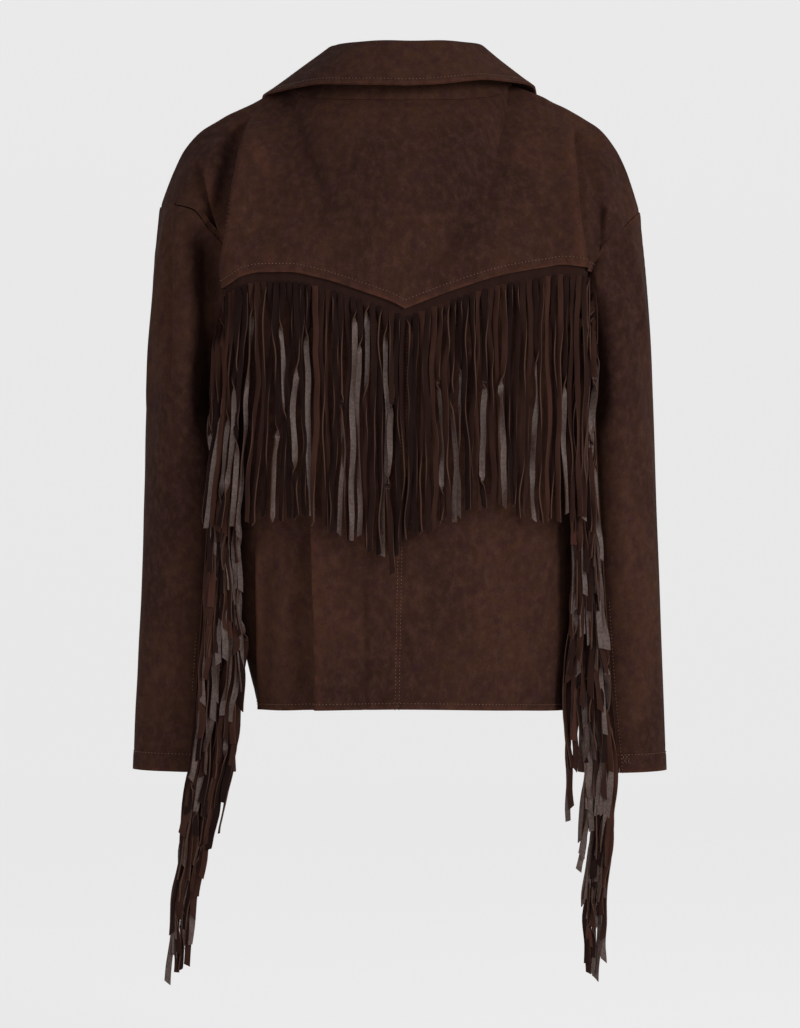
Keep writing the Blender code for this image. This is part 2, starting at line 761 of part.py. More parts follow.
def sleeve_turns(side):
    """The columns of the top and the under sleeve at each row, as angles.

    At the armhole they meet the corners of the body's rows, and further down they are even.
    """
    back_rows = [row[-1] / ARMHOLE_END * math.pi for row in back_shares(side)]
    yoke_rows = [back_rows[0] * k / YOKE_ROWS for k in range(YOKE_ROWS + 1)]
    front_rows = [2 * math.pi * k / FRONT_ROWS for k in range(FRONT_ROWS // 2 + 1)]
    front_seam = round(SEAM_TURN[FRONT][0].degrees / 180 * (FRONT_ROWS // 2))
    slit = SEAM_GAP / 2 / SLEEVE_RADIUS
    start = {
        "top": [-turn for turn in front_rows[front_seam:0:-1]] + yoke_rows,
        "under": back_rows[:2]
        + back_rows[3 : 4 + ARM_ROWS]
        + [2 * math.pi - turn for turn in front_rows[-2 : front_seam - 1 : -1]],
    }
    turns = {"top": [], "under": []}
    for share in np.linspace(0, 1, SLEEVE_ROWS + 1):
        even = smoothstep(share / SLEEVE_SPREAD)
        back = math.radians(float(table(SEAM_TURN[BACK], "share", "degrees", share)))
        back = back_rows[0] + (back - back_rows[0]) * even
        front = math.radians(float(table(SEAM_TURN[FRONT], "share", "degrees", share)))
        strip = back + ROOT_RUN / SLEEVE_RADIUS
        over_front = np.linspace(-front, 0, front_seam + 1)
        over_back = np.linspace(0, back, YOKE_ROWS + 1)[1:]
        beneath = np.linspace(strip, 2 * math.pi - front, len(start["under"]) - 1)
        row = {"top": [*over_front, *over_back], "under": [back, *beneath]}
        for part, columns in row.items():
            mixed = np.array(start[part]) * (1 - even) + np.array(columns) * even
            mixed[0] += slit
            mixed[-1] -= slit
            turns[part].append(mixed)
    return {part: np.array(rows) for part, rows in turns.items()}


def sleeve_grid(side, part):
    """Outer points and normals of the top or under sleeve."""
    turns = sleeve_turns(side)[part]
    shares = np.linspace(0, 1, SLEEVE_ROWS + 1)[:, None] * np.ones(turns.shape[1])

    def surface(a, b):
        return sleeve(side, a, np.clip(b, 0, 1))

    outward = np.stack([side * np.cos(turns), -np.sin(turns), np.zeros(turns.shape)], axis=-1)
    normal = normals(surface, turns, shares, outward)
    wrapped = (turns[0] + np.pi) % (2 * np.pi) - np.pi
    for face in (BACK, FRONT):
        here = (np.sign(-wrapped) == face) & (np.abs(wrapped) < SHARED_RING * np.pi)
        if here.any():
            normal[0, here] = armhole_normal(side, face, np.abs(wrapped[here]) / np.pi)
    return sleeve(side, turns, shares), normal


def build_sleeves():
    for side in (LEFT, RIGHT):
        for part in ("top", "under"):
            points, normal = sleeve_grid(side, part)
            name = f"sleeve_{part}_{SIDE_NAMES[side]}"
            add_wall(name, points, points - normal * CLOTH, SUEDE)


# ---- the collar ----


def collar_section(foot, top, edge):
    """Points of the collar's middle line: up the stand, round the roll, down the fall."""
    rise, drop = top - foot, top - edge
    up = rise / np.linalg.norm(rise) + drop / np.linalg.norm(drop)
    up = up / np.linalg.norm(up)
    across = edge - foot
    across = across - up * (up @ across)
    across = across / np.linalg.norm(across)
    centre = top - up * ROLL_RADIUS
    turns = np.linspace(math.pi, 0, ROLL_POINTS + 2)
    roll = [centre + ROLL_RADIUS * (across * math.cos(t) + up * math.sin(t)) for t in turns]
    stand = [foot + (roll[0] - foot) * k / STAND_POINTS for k in range(STAND_POINTS)]
    fall = []
    for k in range(1, FALL_POINTS + 1):
        t = k / FALL_POINTS
        fall.append(roll[-1] + (edge - roll[-1]) * t + up * FALL_BOW * math.sin(math.pi * t))
    return np.array(stand + roll + fall)


def neck_foot(turn):
    """Where the collar stands on the neck seam."""
    across, along = math.sin(math.radians(turn)), math.cos(math.radians(turn))
    face = BACK if along > 0 else FRONT
    z = float(table(NECK_HEIGHT[face], "share", "z", across))
    return np.array([NECK_HALF * across, face * NECK_DEPTH[face] * abs(along), z + COLLAR_RISE])


def build_collar():
    turns = np.linspace(0, COLLAR[-1].turn, COLLAR_COLUMNS + 1)
    knots = column(COLLAR, "turn")

    def read(name, turn):
        points = np.array([getattr(row, name) for row in COLLAR], float)
        return np.array([through(knots, points[:, k], turn) for k in range(3)])

    def section(side, turn):
        mirror = np.array([side, 1.0, 1.0])
        lean = np.array([COLLAR_LEAN, 0.0, 0.0])
        top, edge = (read(name, turn) * mirror + lean for name in ("top", "edge"))
        return collar_section(neck_foot(turn) * mirror, top, edge)

    left = [section(LEFT, turn) for turn in turns[:0:-1]]
    sections = np.array(left + [section(RIGHT, turn) for turn in turns])
    along = np.gradient(sections, axis=0)
    across = np.gradient(sections, axis=1)
    normal = np.cross(along, across)
    normal /= np.linalg.norm(normal, axis=-1, keepdims=True)
    half = COLLAR_CLOTH / 2
    add_wall("collar", sections + normal * half, sections - normal * half, SUEDE)


# ---- the fringes ----


def add_fringe(name, cells, strands):
    """A fringe: strip cells side by side, each with its strand growing from its lower side.

    cells holds the strip's rings, one more than the strands: down the strip's outer face and
    back up its inner face, with as many corners on each. strands holds, for each strand, its
    rings of four corners in the order outer first, outer next, inner next, inner first.
    """
    form = bmesh.new()
    rings = [[form.verts.new(corner * MM) for corner in cell] for cell in cells]
    form.faces.new(rings[0])
    form.faces.new(rings[-1][::-1])
    corners = len(rings[0])
    low = corners // 2 - 1
    for a, b in zip(rings, rings[1:]):
        for j in range(corners):
            n = (j + 1) % corners
            if j != low:
                form.faces.new((a[j], b[j], b[n], a[n]))
    for a, b, strand in zip(rings, rings[1:], strands):
        before = [a[low], b[low], b[low + 1], a[low + 1]]
        for ring in strand:
            after = [form.verts.new(corner * MM) for corner in ring]
            for j in range(4):
                n = (j + 1) % 4
                form.faces.new((before[j], before[n], after[n], after[j]))
            before = after
        form.faces.new(before)
    mesh = bpy.data.meshes.new(name)
    finish_mesh(form, mesh)
    return add_object(name, mesh, SUEDE_EDGE)


def strand_ring(centre, across, width, cloth, out=(0.0, -1.0, 0.0)):
    """Four corners round a strand's middle, its first two on the side that out points to."""
    half, thick = across * width / 2, np.array(out) * cloth / 2
    ends = (-half + thick, half + thick, half - thick, -half - thick)
    return np.array([centre + end for end in ends])


def walk_along(line, count, start, end):
    """Points spaced evenly along a polyline, given with the polyline's own parameter."""
    lengths = np.concatenate([[0], np.cumsum(np.linalg.norm(np.diff(line, axis=0), axis=1))])
    at = np.linspace(lengths[-1] * start, lengths[-1] * end, count)
    return np.interp(at, lengths, np.arange(len(line)))


def read_line(line, at):
    return np.array([np.interp(at, np.arange(len(line)), line[:, k]) for k in range(3)]).T


def build_back_fringe():
    inner, outer = [], []
    for which in (1, 2, 3):
        halves = []
        for side in (LEFT, RIGHT):
            shares = yoke_shares(side)[which]
            points, normal = body_grid(side, BACK, COLUMNS, [shares])
            halves.append((points[0], normal[0]))
        (left, left_normal), (right, right_normal) = halves
        points = np.concatenate([left[::-1], right[1:]])
        normal = np.concatenate([left_normal[::-1], right_normal[1:]])
        inner.append(points + normal * STRIP_GAP)
        outer.append(points + normal * (STRIP_GAP + STRIP_CLOTH))
    at = walk_along(outer[-1], BACK_STRANDS + 1, 0.035, 0.965)
    cells = np.stack([read_line(line, at) for line in outer + inner[::-1]], axis=1)
    rng = np.random.default_rng(7)
    strands = []
    for k in range(BACK_STRANDS):
        root = cells[k : k + 2, 2:4].mean(axis=(0, 1))
        end_x = table(BACK_ENDS, "root", "x", root[0]) + rng.uniform(-0.8, 0.8)
        end_z = table(BACK_ENDS, "root", "z", root[0]) + rng.uniform(-7, 5)
        near = 2.0 - root[1]
        behind = STAGGER if k % 2 and k >= SPREAD_STRANDS else 0.0
        far = max(near + 1.5, HANG_DEPTH)
        twist = rng.uniform(-0.2, 0.2)
        rings = []
        for drop in (0.16, 0.55, 1.0):
            x = root[0] + (end_x - root[0]) * drop**1.5
            z = root[2] + (end_z - root[2]) * drop
            y = -near - (far - near) * smoothstep((drop - 0.16) / 0.39) - behind
            across = np.array([math.cos(twist * drop), math.sin(twist * drop), 0.0])
            rings.append(strand_ring(np.array([x, y, z]), across, STRAND_WIDTH, STRAND_CLOTH))
        strands.append(rings)
    add_fringe("fringe_back", cells, strands)


def build_sleeve_fringe(side):
    """Strands cut along a strip in the back sleeve seam.

    They leave the strip slanting inwards to a lane of their own and hang down it. Each group
    of strands covers the lanes once, its first strand taking the innermost lane, and hangs
    over the groups that start below it, so that no strand crosses another.
    """
    points, normal = sleeve_grid(side, "under")
    rails = []
    for j, lift in ((0, STRIP_CLOTH), (1, STRIP_CLOTH), (1, 0.0), (0, 0.0)):
        rails.append(points[:, j] + normal[:, j] * (SLEEVE_STRIP_GAP + lift))
    at = walk_along(rails[1], SLEEVE_STRANDS + 1, 0.05, 0.99)
    cells = np.stack([read_line(line, at) for line in rails], axis=1)
    rows = BUNDLE[side]
    seam_z, seam_out = cells[::-1, 1, 2], np.abs(cells[::-1, 1, 0])
    rng = np.random.default_rng(11 + side)

    def lane_out(z, place):
        """How far out a lane hangs at a height, for its place across the bundle (0 inside)."""
        outer = np.interp(z, seam_z, seam_out) + table(rows, "z", "drift", z)
        return outer - 3.0 - table(rows, "z", "width", z) * (1 - place)

    roots = (cells[:-1, 1:3].mean(axis=1) + cells[1:, 1:3].mean(axis=1)) / 2

    def groups_above(z):
        return np.interp(z, roots[::-1, 2], np.arange(len(roots))[::-1] / LANES)

    strands = []
    for k, root in enumerate(roots):
        group, lane = divmod(k, LANES)
        place = (lane + group * LANE_SHIFT % 1) / LANES
        inward, thick = cells[k, 1] - cells[k, 0], cells[k, 1] - cells[k, 2]
        downward = cells[k + 1, 1] - cells[k, 1]
        inward, thick, downward = (v / np.linalg.norm(v) for v in (inward, thick, downward))
        first = root + inward * FIRST_RUN + downward * FIRST_DROP + thick * FIRST_LIFT
        across = downward * math.sin(FIRST_TURN) - inward * math.cos(FIRST_TURN)
        width = LANE_STRAND_WIDTH * FIRST_WIDTH
        rings = [strand_ring(first, across, width, LANE_STRAND_CLOTH, thick)]
        length = SLEEVE_STRAND_LENGTH + rng.uniform(-9, 3)
        slant = 20.0
        for _ in range(3):
            travel = max(abs(first[0]) - lane_out(root[2] - slant, place), 0.0)
            slant = max(travel / math.tan(SLANT), ROOT_REACH)
        level = math.ceil((slant + 15 - root[2]) / LEVEL_STEP) * LEVEL_STEP + root[2]
        for drop in [slant, *np.arange(level, length - 15, LEVEL_STEP), length]:
            z = root[2] - drop
            out, turn = lane_out(z, place), 0.0
            depth = np.interp(z, roots[::-1, 2], -roots[::-1, 1]) + ROOT_LIFT
            if drop == slant:
                out = min(out, abs(first[0]))
                turn = math.atan(travel / slant) / 2
            else:
                depth = max(depth, table(rows, "z", "depth", z))
            below = groups_above(z) if z > roots[-1, 2] else (len(roots) - 1) / LANES
            y = -depth - LAYER_STEP * max(below - group, 0.0) - LANE_STEP * lane
            across = np.array([side * math.cos(turn), 0.0, -math.sin(turn)])
            centre = np.array([side * out, y, z])
            rings.append(strand_ring(centre, across, LANE_STRAND_WIDTH, LANE_STRAND_CLOTH))
        strands.append(rings)
    add_fringe(f"fringe_sleeve_{SIDE_NAMES[side]}", cells, strands)


def clear_scene():
    for item in list(bpy.data.objects):
        bpy.data.objects.remove(item, do_unlink=True)


def main():
    clear_scene()
    jacket = bpy.data.objects.new("jacket", None)
    bpy.context.scene.collection.objects.link(jacket)
    build_yoke()
    build_backs()
    build_fronts()
    build_buttons()
    build_sleeves()
    build_collar()
    build_back_fringe()
    for side in (LEFT, RIGHT):
        build_sleeve_fringe(side)


main()
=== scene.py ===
"""Dresses the fringed suede jacket: cloth, fringe, stitching, buttons, studio and camera.

The jacket hangs in its own frame, in metres, with its back towards -Y. Tables are in
millimetres. Each sub-assembly is a class that holds its sizes, builds its meshes on the same
curved forms as the solids, gives them their finish and says which solids they stand for.
"""

from __future__ import annotations

import logging
import math
from dataclasses import dataclass, field
from enum import Enum
from typing import Callable, NamedTuple, Sequence

import bmesh
import bpy
import numpy as np
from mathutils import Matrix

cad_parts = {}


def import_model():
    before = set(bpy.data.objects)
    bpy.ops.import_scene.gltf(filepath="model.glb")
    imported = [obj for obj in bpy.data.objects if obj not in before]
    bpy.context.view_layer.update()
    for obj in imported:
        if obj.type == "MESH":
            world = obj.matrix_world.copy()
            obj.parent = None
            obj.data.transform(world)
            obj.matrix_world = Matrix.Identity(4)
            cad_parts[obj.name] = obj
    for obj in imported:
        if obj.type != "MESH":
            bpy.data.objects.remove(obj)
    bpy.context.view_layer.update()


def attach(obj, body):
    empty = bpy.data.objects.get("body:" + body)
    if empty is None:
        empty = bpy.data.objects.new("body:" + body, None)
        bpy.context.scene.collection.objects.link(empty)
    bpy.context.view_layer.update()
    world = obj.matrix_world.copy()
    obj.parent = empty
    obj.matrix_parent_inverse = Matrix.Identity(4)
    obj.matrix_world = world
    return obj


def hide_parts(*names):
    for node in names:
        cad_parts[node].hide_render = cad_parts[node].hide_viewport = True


LOG = logging.getLogger("jacket")
MM = 0.001
Array = np.ndarray
Object, Material = bpy.types.Object, bpy.types.Material
Tree, Socket = bpy.types.NodeTree, bpy.types.NodeSocket


def rows_of(kind: type, *values: tuple) -> list:
    """A table with named columns: one row for each tuple."""
    return [kind(*row) for row in values]


class Side(Enum):
    """The two sides of the jacket, as the sign of X."""

    LEFT = -1
    RIGHT = 1

    @property
    def word(self) -> str:
        """The side's name in node names."""
        return self.name.lower()


class Face(Enum):
    """The back and the front, as the sign of Y."""

    BACK = -1
    FRONT = 1


LEFT, RIGHT, BACK, FRONT = Side.LEFT, Side.RIGHT, Face.BACK, Face.FRONT

SEAM_GAP = 0.3  # between two panels
CLOTH = 1.4  # how thick the suede is

# ---- the neck and the shoulder ridge ----
NECK_HALF = 108.0
NECK_DEPTH = {BACK: 65.0, FRONT: 72.0}


class NeckHeight(NamedTuple):
    """Height of the neck seam at a share of the half width."""

    share: float
    z: float


NECK_HEIGHT = {
    BACK: rows_of(NeckHeight, (0.00, -5.0), (0.50, -3.5), (0.77, 0.0), (0.91, 5.0), (1.00, 16.0)),
    FRONT: rows_of(
        NeckHeight,
        (0.00, -78.0), (0.45, -64.0), (0.77, -36.0), (0.93, -10.0), (1.00, 16.0),
    ),
}


class Ridge(NamedTuple):
    """A point of the shoulder line."""

    out: float
    z: float


RIDGE = {
    LEFT: rows_of(
        Ridge,
        (108, 16), (125, 8), (137, 2.5), (147, -3), (160, -9), (172, -14.5), (183, -21),
        (199, -31), (216, -50), (226, -70), (234, -90), (240, -107),
    ),
    RIGHT: rows_of(
        Ridge,
        (108, 16), (125, 10.5), (143, 3.5), (153, -2), (164, -7), (175, -13), (185, -19),
        (200, -29), (216, -49), (226, -69), (233, -89), (240, -112),
    ),
}

# ---- the rails of the body ----
# share runs from the neck and shoulder (0) to the hem (1).


class Centre(NamedTuple):
    """A point of the middle rail, from neck (0) to hem (1)."""

    share: float
    x: float
    depth: float
    z: float


CENTRE = {
    BACK: rows_of(
        Centre,
        (0.00, 5, 65, -5), (0.12, 5, 92, -45), (0.25, 5, 113, -95), (0.37, 5, 124, -150),
        (0.50, 5, 127, -222), (0.62, 4, 123, -305), (0.80, 0, 119, -447), (1.00, -3, 117, -604),
    ),
    FRONT: rows_of(
        Centre,
        (0.00, 0, 72, -78), (0.12, 0, 96, -112), (0.25, 0, 114, -152), (0.37, 0, 124, -195),
        (0.50, 0, 128, -250), (0.62, 0, 127, -325), (0.80, 0, 125, -460), (1.00, 0, 124, -611),
    ),
}


class Armhole(NamedTuple):
    """A point of the back half of an armhole."""

    out: float
    depth: float
    z: float


ARMHOLE = {
    LEFT: rows_of(
        Armhole,
        (240, 0, -107), (229, 28, -107), (204, 60, -114), (190, 71, -131), (171, 81, -157),
        (168, 78, -195), (167, 48, -234), (166, 0, -250),
    ),
    RIGHT: rows_of(
        Armhole,
        (240, 0, -112), (230, 26, -121), (214, 48, -137), (199, 66, -153), (186, 77, -170),
        (179, 76, -198), (176, 46, -236), (175, 0, -252),
    ),
}
ARMHOLE_END = 0.5  # the share of a body panel's height where its armhole ends


class SideRail(NamedTuple):
    """A point of the side seam, from the underarm to the hem."""

    share: float
    out: float
    z: float


SIDE = {
    LEFT: rows_of(
        SideRail,
        (0.50, 166, -250), (0.57, 167.5, -300), (0.71, 168.5, -400), (0.85, 163, -500),
        (0.97, 146, -590), (1.00, 142, -607.5),
    ),
    RIGHT: rows_of(
        SideRail,
        (0.50, 175, -252), (0.57, 174.5, -300), (0.71, 176, -400), (0.85, 175, -500),
        (1.00, 169, -608),
    ),
}


class Roundness(NamedTuple):
    """How boxy a level is: 2 is an ellipse."""

    share: float
    power: float


ROUNDNESS = rows_of(Roundness, (0.0, 2.3), (0.3, 2.7), (0.5, 3.0), (1.0, 2.5))
SHOULDER_REACH = 0.4  # how far down the panel the shoulder line still shapes it
SHOULDER_FADE = 2.2
DROP = 1.6  # how late a row of the body falls towards its edge

# ---- the body's columns, close together where the cloth folds by the armhole ----
COLUMNS = (0.0, 0.08, 0.16, 0.23, 0.30, 0.42, 0.53, 0.63, 0.70, 0.76, 0.82, 0.90, 1.0)

# ---- the yoke ----


class YokeEdge(NamedTuple):
    """Height of the yoke edge at a distance from the middle."""

    out: float
    z: float


YOKE_EDGE = {
    LEFT: rows_of(
        YokeEdge,
        (0, -215.5), (11, -209.5), (40, -199), (80, -186), (113, -179.5), (139, -179.5),
        (159, -183.5), (175, -195),
    ),
    RIGHT: rows_of(
        YokeEdge,
        (0, -215.5), (25, -205.5), (54, -195), (94, -182.5), (134, -175), (153, -172),
        (169, -173), (182, -176),
    ),
}
YOKE_SHARES = (0.08, 0.9)  # the yoke edge lies between these shares of the back
YOKE_LAP = 20.0  # the back panels run this far up under the yoke
YOKE_LIFT, YOKE_LIFT_RUN = 4.4, 60.0
CORNER_LIFT, CORNER_RUN = {LEFT: 13.0, RIGHT: 3.0}, (9.0, 20.0)  # the rounded hem corners
STRIP_UP, STRIP_DOWN = 8.0, 10.0  # the fringe's uncut strip, above and below the yoke edge

# ---- folds that the hanging cloth makes ----


class Fold(NamedTuple):
    """A soft ridge (+) or trough (-) along a line seen square on."""

    x0: float
    z0: float
    x1: float
    z1: float
    width: float
    depth: float


FOLDS = {
    BACK: rows_of(
        Fold,
        (-148, -30, -166, -180, 12, 5), (-164, -40, -186, -140, 10, -9),
        (166, -36, 176, -172, 12, 5), (184, -50, 196, -146, 10, -8),
        (-133, -470, -137, -611, 9, -6), (-97, -500, -93, -611, 12, -4),
        (120, -520, 128, -611, 14, -4),
    ),
    FRONT: rows_of(
        Fold,
        (-150, -50, -164, -190, 12, 5), (-168, -60, -184, -150, 10, -8),
        (152, -50, 166, -190, 12, 5), (170, -60, 188, -150, 10, -8),
        (-112, -440, -122, -611, 12, -5), (104, -470, 112, -611, 13, -5),
    ),
}

# ---- the front lap and its buttons ----
LAP, LAP_LIFT, LAP_RUN = 15.0, 2.4, 22.0
HALF_CHEST = 168.0
BUTTONS = 5
BUTTON_TOP, BUTTON_BOTTOM = -128.0, -548.0
BUTTON_RADIUS, BUTTON_HEIGHT = 10.0, 3.2
SHANK = 0.4
# the turned profile from the middle of the foot to the middle of the face, as shares of the
# radius and of the height
BUTTON_PROFILE = (
    (0.0, 0.0), (0.9, 0.0), (0.985, 0.2), (1.0, 0.42), (0.97, 0.66), (0.9, 0.9), (0.82, 0.93),
    (0.74, 0.8), (0.64, 0.68), (0.45, 0.7), (0.2, 0.78), (0.0, 0.8),
)

# ---- sleeves ----
# inner is the line against the body, and depth is from the middle to the back and front.


class SleeveRing(NamedTuple):
    """A slanted oval of a sleeve."""

    share: float
    outer: float
    outer_z: float
    inner: float
    inner_z: float
    depth: float


SLEEVE = {
    LEFT: rows_of(
        SleeveRing,
        (0.00, 240, -107, 166, -250, 81), (0.12, 246, -172, 167, -288, 80),
        (0.28, 251, -262, 166.5, -352, 75), (0.48, 254, -370, 166.5, -440, 65),
        (0.74, 259.5, -515, 167, -555, 47), (1.00, 265.5, -668, 162, -671, 32),
    ),
    RIGHT: rows_of(
        SleeveRing,
        (0.00, 240, -112, 175, -252, 81), (0.12, 246, -176, 173, -290, 80),
        (0.28, 251, -264, 174.5, -353, 75), (0.48, 254.5, -370, 177, -440, 66),
        (0.74, 260, -515, 178, -555, 50), (1.00, 265.5, -669, 176, -671, 38),
    ),
}
ARMHOLE_REACH = 0.3  # how far down the sleeve the armhole still shapes it
SLEEVE_SHIFT = (0.55, -0.4)  # away from the body's edge
UNDERARM_SHIFT = 0.6  # further out where the seam turns under the arm
UNDERARM_FROM, UNDERARM_RUN = 0.6, 0.3  # as shares of half a turn


class SeamTurn(NamedTuple):
    """Where a sleeve seam lies, round from the outer line."""

    share: float
    degrees: float


SEAM_TURN = {
    BACK: rows_of(
        SeamTurn,
        (0.00, 110), (0.15, 121), (0.35, 120), (0.60, 113), (0.80, 106), (1.00, 95),
    ),
    FRONT: rows_of(SeamTurn, (0.00, 120), (1.00, 100)),
}
SLEEVE_SPREAD = 0.25  # where the sleeve's columns stop following the body's rows
BACK_SEAM_RISE = 4.0  # the back sleeve seam starts this far above the yoke edge
SLEEVE_RADIUS = 55.0  # a middling one, to turn small widths into angles


class SleeveFold(NamedTuple):
    """A ridge or trough down a sleeve."""

    degrees: float
    share0: float
    share1: float
    width: float
    depth: float


SLEEVE_FOLDS = rows_of(
    SleeveFold,
    (35, 0.0, 0.30, 9, 3.0), (58, 0.0, 0.14, 8, -4.0), (-40, 0.0, 0.25, 10, 3.0),
    (-70, 0.0, 0.16, 9, -4.0),
)

# ---- the collar ----
# One row for each turn from the middle of the back (0) to the front: the top of the roll and
# the edge of the fall. The foot stands on the neck seam.


class CollarRow(NamedTuple):
    """The roll top and the fall edge at a turn round the neck."""

    turn: float
    top: tuple[float, float, float]
    edge: tuple[float, float, float]


COLLAR = rows_of(
    CollarRow,
    (0, (0, -43, 52.5), (0, -84, 4)), (25, (32, -39, 53), (44, -79, 6)),
    (50, (52, -26, 53), (86, -62, 9)), (72, (60, -12, 51), (114, -34, 8)),
    (90, (66, 2, 46), (136, 2, 6)), (112, (72, 22, 33), (141, 48, -22)),
    (135, (74, 48, 0), (128, 96, -76)), (158, (47, 76, -38), (98, 128, -128)),
)


class CollarHalf(NamedTuple):
    """How one half of the collar differs from the rows above."""

    wider: float
    lower: float
    fuller: float
    higher: float


COLLAR_HALF = {LEFT: CollarHalf(1.045, -3.0, 0.09, 3.0), RIGHT: CollarHalf(0.965, 5.0, 0.145, 3.5)}
COLLAR_LEAN = 4.5  # the collar sits this far to the right of the neck seam
COLLAR_RISE = 1.5  # from the neck seam to the collar's foot
ROLL_RADIUS = 4.0
FALL_BOW = 1.5

# ---- fringe ----
STRIP_CLOTH = 1.4
STRIP_KINDS = (0, 0, 0.5, 0, 0, 0.5)  # the uncut strip: suede on both faces, cut at its edges
STRIP_TONE = 0.25
EVEN_STRANDS = 9  # this many at the cuff end of a sleeve fringe are cut more evenly
STRIP_GAP = 0.8  # under the back fringe's strip
SLEEVE_STRIP_GAP = 1.7  # under a sleeve fringe's strip
STRIP_TURNS = (0.2, 3.0, 6.0)  # the sleeve strip's three lines, from the seam towards its slits
SLEEVE_STRAND_LENGTH = 216.0
HANG_DEPTH = 98.0  # the back fringe hangs out to here, clear of the sleeve fringes


class StrandEnd(NamedTuple):
    """Where strands with roots there end."""

    root: float
    x: float
    z: float


BACK_ENDS = rows_of(
    StrandEnd,
    (-175, -200, -427), (-150, -165, -426), (-120, -124, -418), (-96, -97, -414),
    (-66, -66, -432), (-40, -40, -438), (-16, -16, -456), (-8, -9, -466), (4, 3, -444),
    (34, 34, -425), (56, 56, -416), (96, 96, -402), (120, 119, -412), (150, 149, -417),
    (180, 179, -416),
)


class Bundle(NamedTuple):
    """A sleeve fringe's outer line, width and depth at a height."""

    z: float
    drift: float
    width: float
    depth: float


BUNDLE = {
    LEFT: rows_of(
        Bundle,
        (-885, 29, 19, 44), (-850, 26, 19, 45), (-805, 25, 23, 45), (-786, 23, 26, 45),
        (-766, 19, 31, 45), (-745, 16, 35, 45), (-690, 9, 39, 46), (-660, 3, 39, 48),
        (-590, 2, 42, 54), (-500, 2, 34, 67), (-430, 2, 26, 76), (-320, 3, 20, 86),
        (-250, 5, 18, 92), (-190, 6, 18, 92),
    ),
    RIGHT: rows_of(
        Bundle,
        (-885, -11, 18, 48), (-850, -8, 18, 49), (-805, -7, 18, 50), (-786, -6, 18, 50),
        (-766, -5, 24, 50), (-746, -3, 32, 50), (-726, -1, 42, 50), (-690, 1, 44, 51),
        (-640, 2, 44, 53), (-590, 2, 40, 57), (-500, 2, 30, 69), (-430, 2, 24, 77),
        (-320, 3, 21, 87), (-250, 4, 18, 92), (-190, 5, 18, 92),
    ),
}

# ---- the finer folds: those above are the largest ones ----
SLEEVE_CREASES = {
    LEFT: rows_of(
        SleeveFold,
        (22, 0.0, 0.42, 7, 3.4), (116, 0.0, 0.36, 16, -7), (75, 0.25, 0.62, 12, -1.6),
        (40, 0.5, 0.9, 14, -1.4), (-60, 0.3, 0.7, 12, -1.8),
    ),
    RIGHT: rows_of(
        SleeveFold,
        (28, 0.04, 0.36, 8, 1.5), (112, 0.0, 0.3, 15, -5), (70, 0.3, 0.7, 11, -1.6),
        (45, 0.55, 0.95, 13, -1.3), (-55, 0.25, 0.75, 12, -1.8),
    ),
}


class Drape(NamedTuple):
    """A soft ridge (+) or trough (-) down the cloth, each side with its own width."""

    x0: float
    z0: float
    x1: float
    z1: float
    left: float
    right: float
    depth: float


DRAPES = {
    BACK: rows_of(
        Drape,
        (-193, -128, -188, -335, 9, 14, -33), (199, -104, 188, -178, 7, 5, -7),
        (215, -58, 228, -134, 6, 7, -7), (194, -186, 192, -340, 9, 9, -7),
        (112, -6, 28, -188, 15, 19, -7.5), (-98, -40, -66, -180, 22, 12, -3),
        (-37, -460, -33, -630, 3, 4, -3), (92, -390, 118, -640, 24, 12, -4),
    ),
    FRONT: rows_of(
        Drape,
        (112, -60, 40, -190, 22, 12, -4), (-96, -60, -52, -200, 20, 12, -3.5),
        (120, -400, 124, -640, 9, 9, -4),
    ),
}


class Pleat(NamedTuple):
    """A fold: the cloth stands high on one side of a line and dips sharply on the other."""

    x0: float
    z0: float
    x1: float
    z1: float
    bow: float
    high: int
    run_high: float
    run_low: float
    lift: float
    drop: float
    sharp: float = 1.6

    def away(self, x: Array, z: Array) -> tuple[Array, Array]:
        """How far points are onto its high side, and where they are along its line."""
        t = (z - self.z0) / (self.z1 - self.z0)
        line = self.x0 + (self.x1 - self.x0) * t + self.bow * 4 * t * (1 - t)
        return self.high * (x - line), t


PLEATS = {
    BACK: rows_of(
        Pleat,
        (-147, -12, -172, -212, -6, 1, 26, 15, 7, 18), (-196, -62, -175, -146, -2, 1, 9, 9, 4, 7),
        (-227, -104, -224, -290, 3, 1, 15, 9, 3.5, 5),
        (170.5, -14, 182, -206, -1.5, -1, 24, 7.5, 6, 12.5, 2.2),
        (-88, -370, -80, -690, 0, 1, 24, 28, 5, 11, 3.0),
        (-141, -430, -139, -720, 0, 1, 9, 13, 3, 12, 2.5),
    ),
    FRONT: rows_of(
        Pleat,
        (-149, -46, -170, -206, -4, 1, 24, 18, 5, 9), (154, -42, 174, -206, 3, -1, 24, 16, 5, 8),
        (-198, -64, -180, -150, -2, 1, 9, 9, 4, 6), (200, -68, 182, -150, 2, -1, 9, 9, 4, 6),
        (-227, -100, -225, -290, 2, 1, 14, 9, 3, 4.5),
        (228, -100, 227, -300, 0, -1, 14, 9, 3, 4.5),
        (-84, -390, -76, -655, 0, 1, 22, 24, 3, 6, 3.0),
        (66, -400, 74, -655, 0, -1, 22, 24, 3, 5, 3.0),
    ),
}


class Spot(NamedTuple):
    """A lighter, redder spot of the yoke."""

    x: float
    z: float
    size: float


# lighter, redder spots of the yoke: the first, on the left shoulder pleat's crest, is a painted
# highlight
PALE_SPOTS = rows_of(Spot, (-139, -56, 8), (-133, -74, 5), (118, -62, 6), (-128, -168, 6))

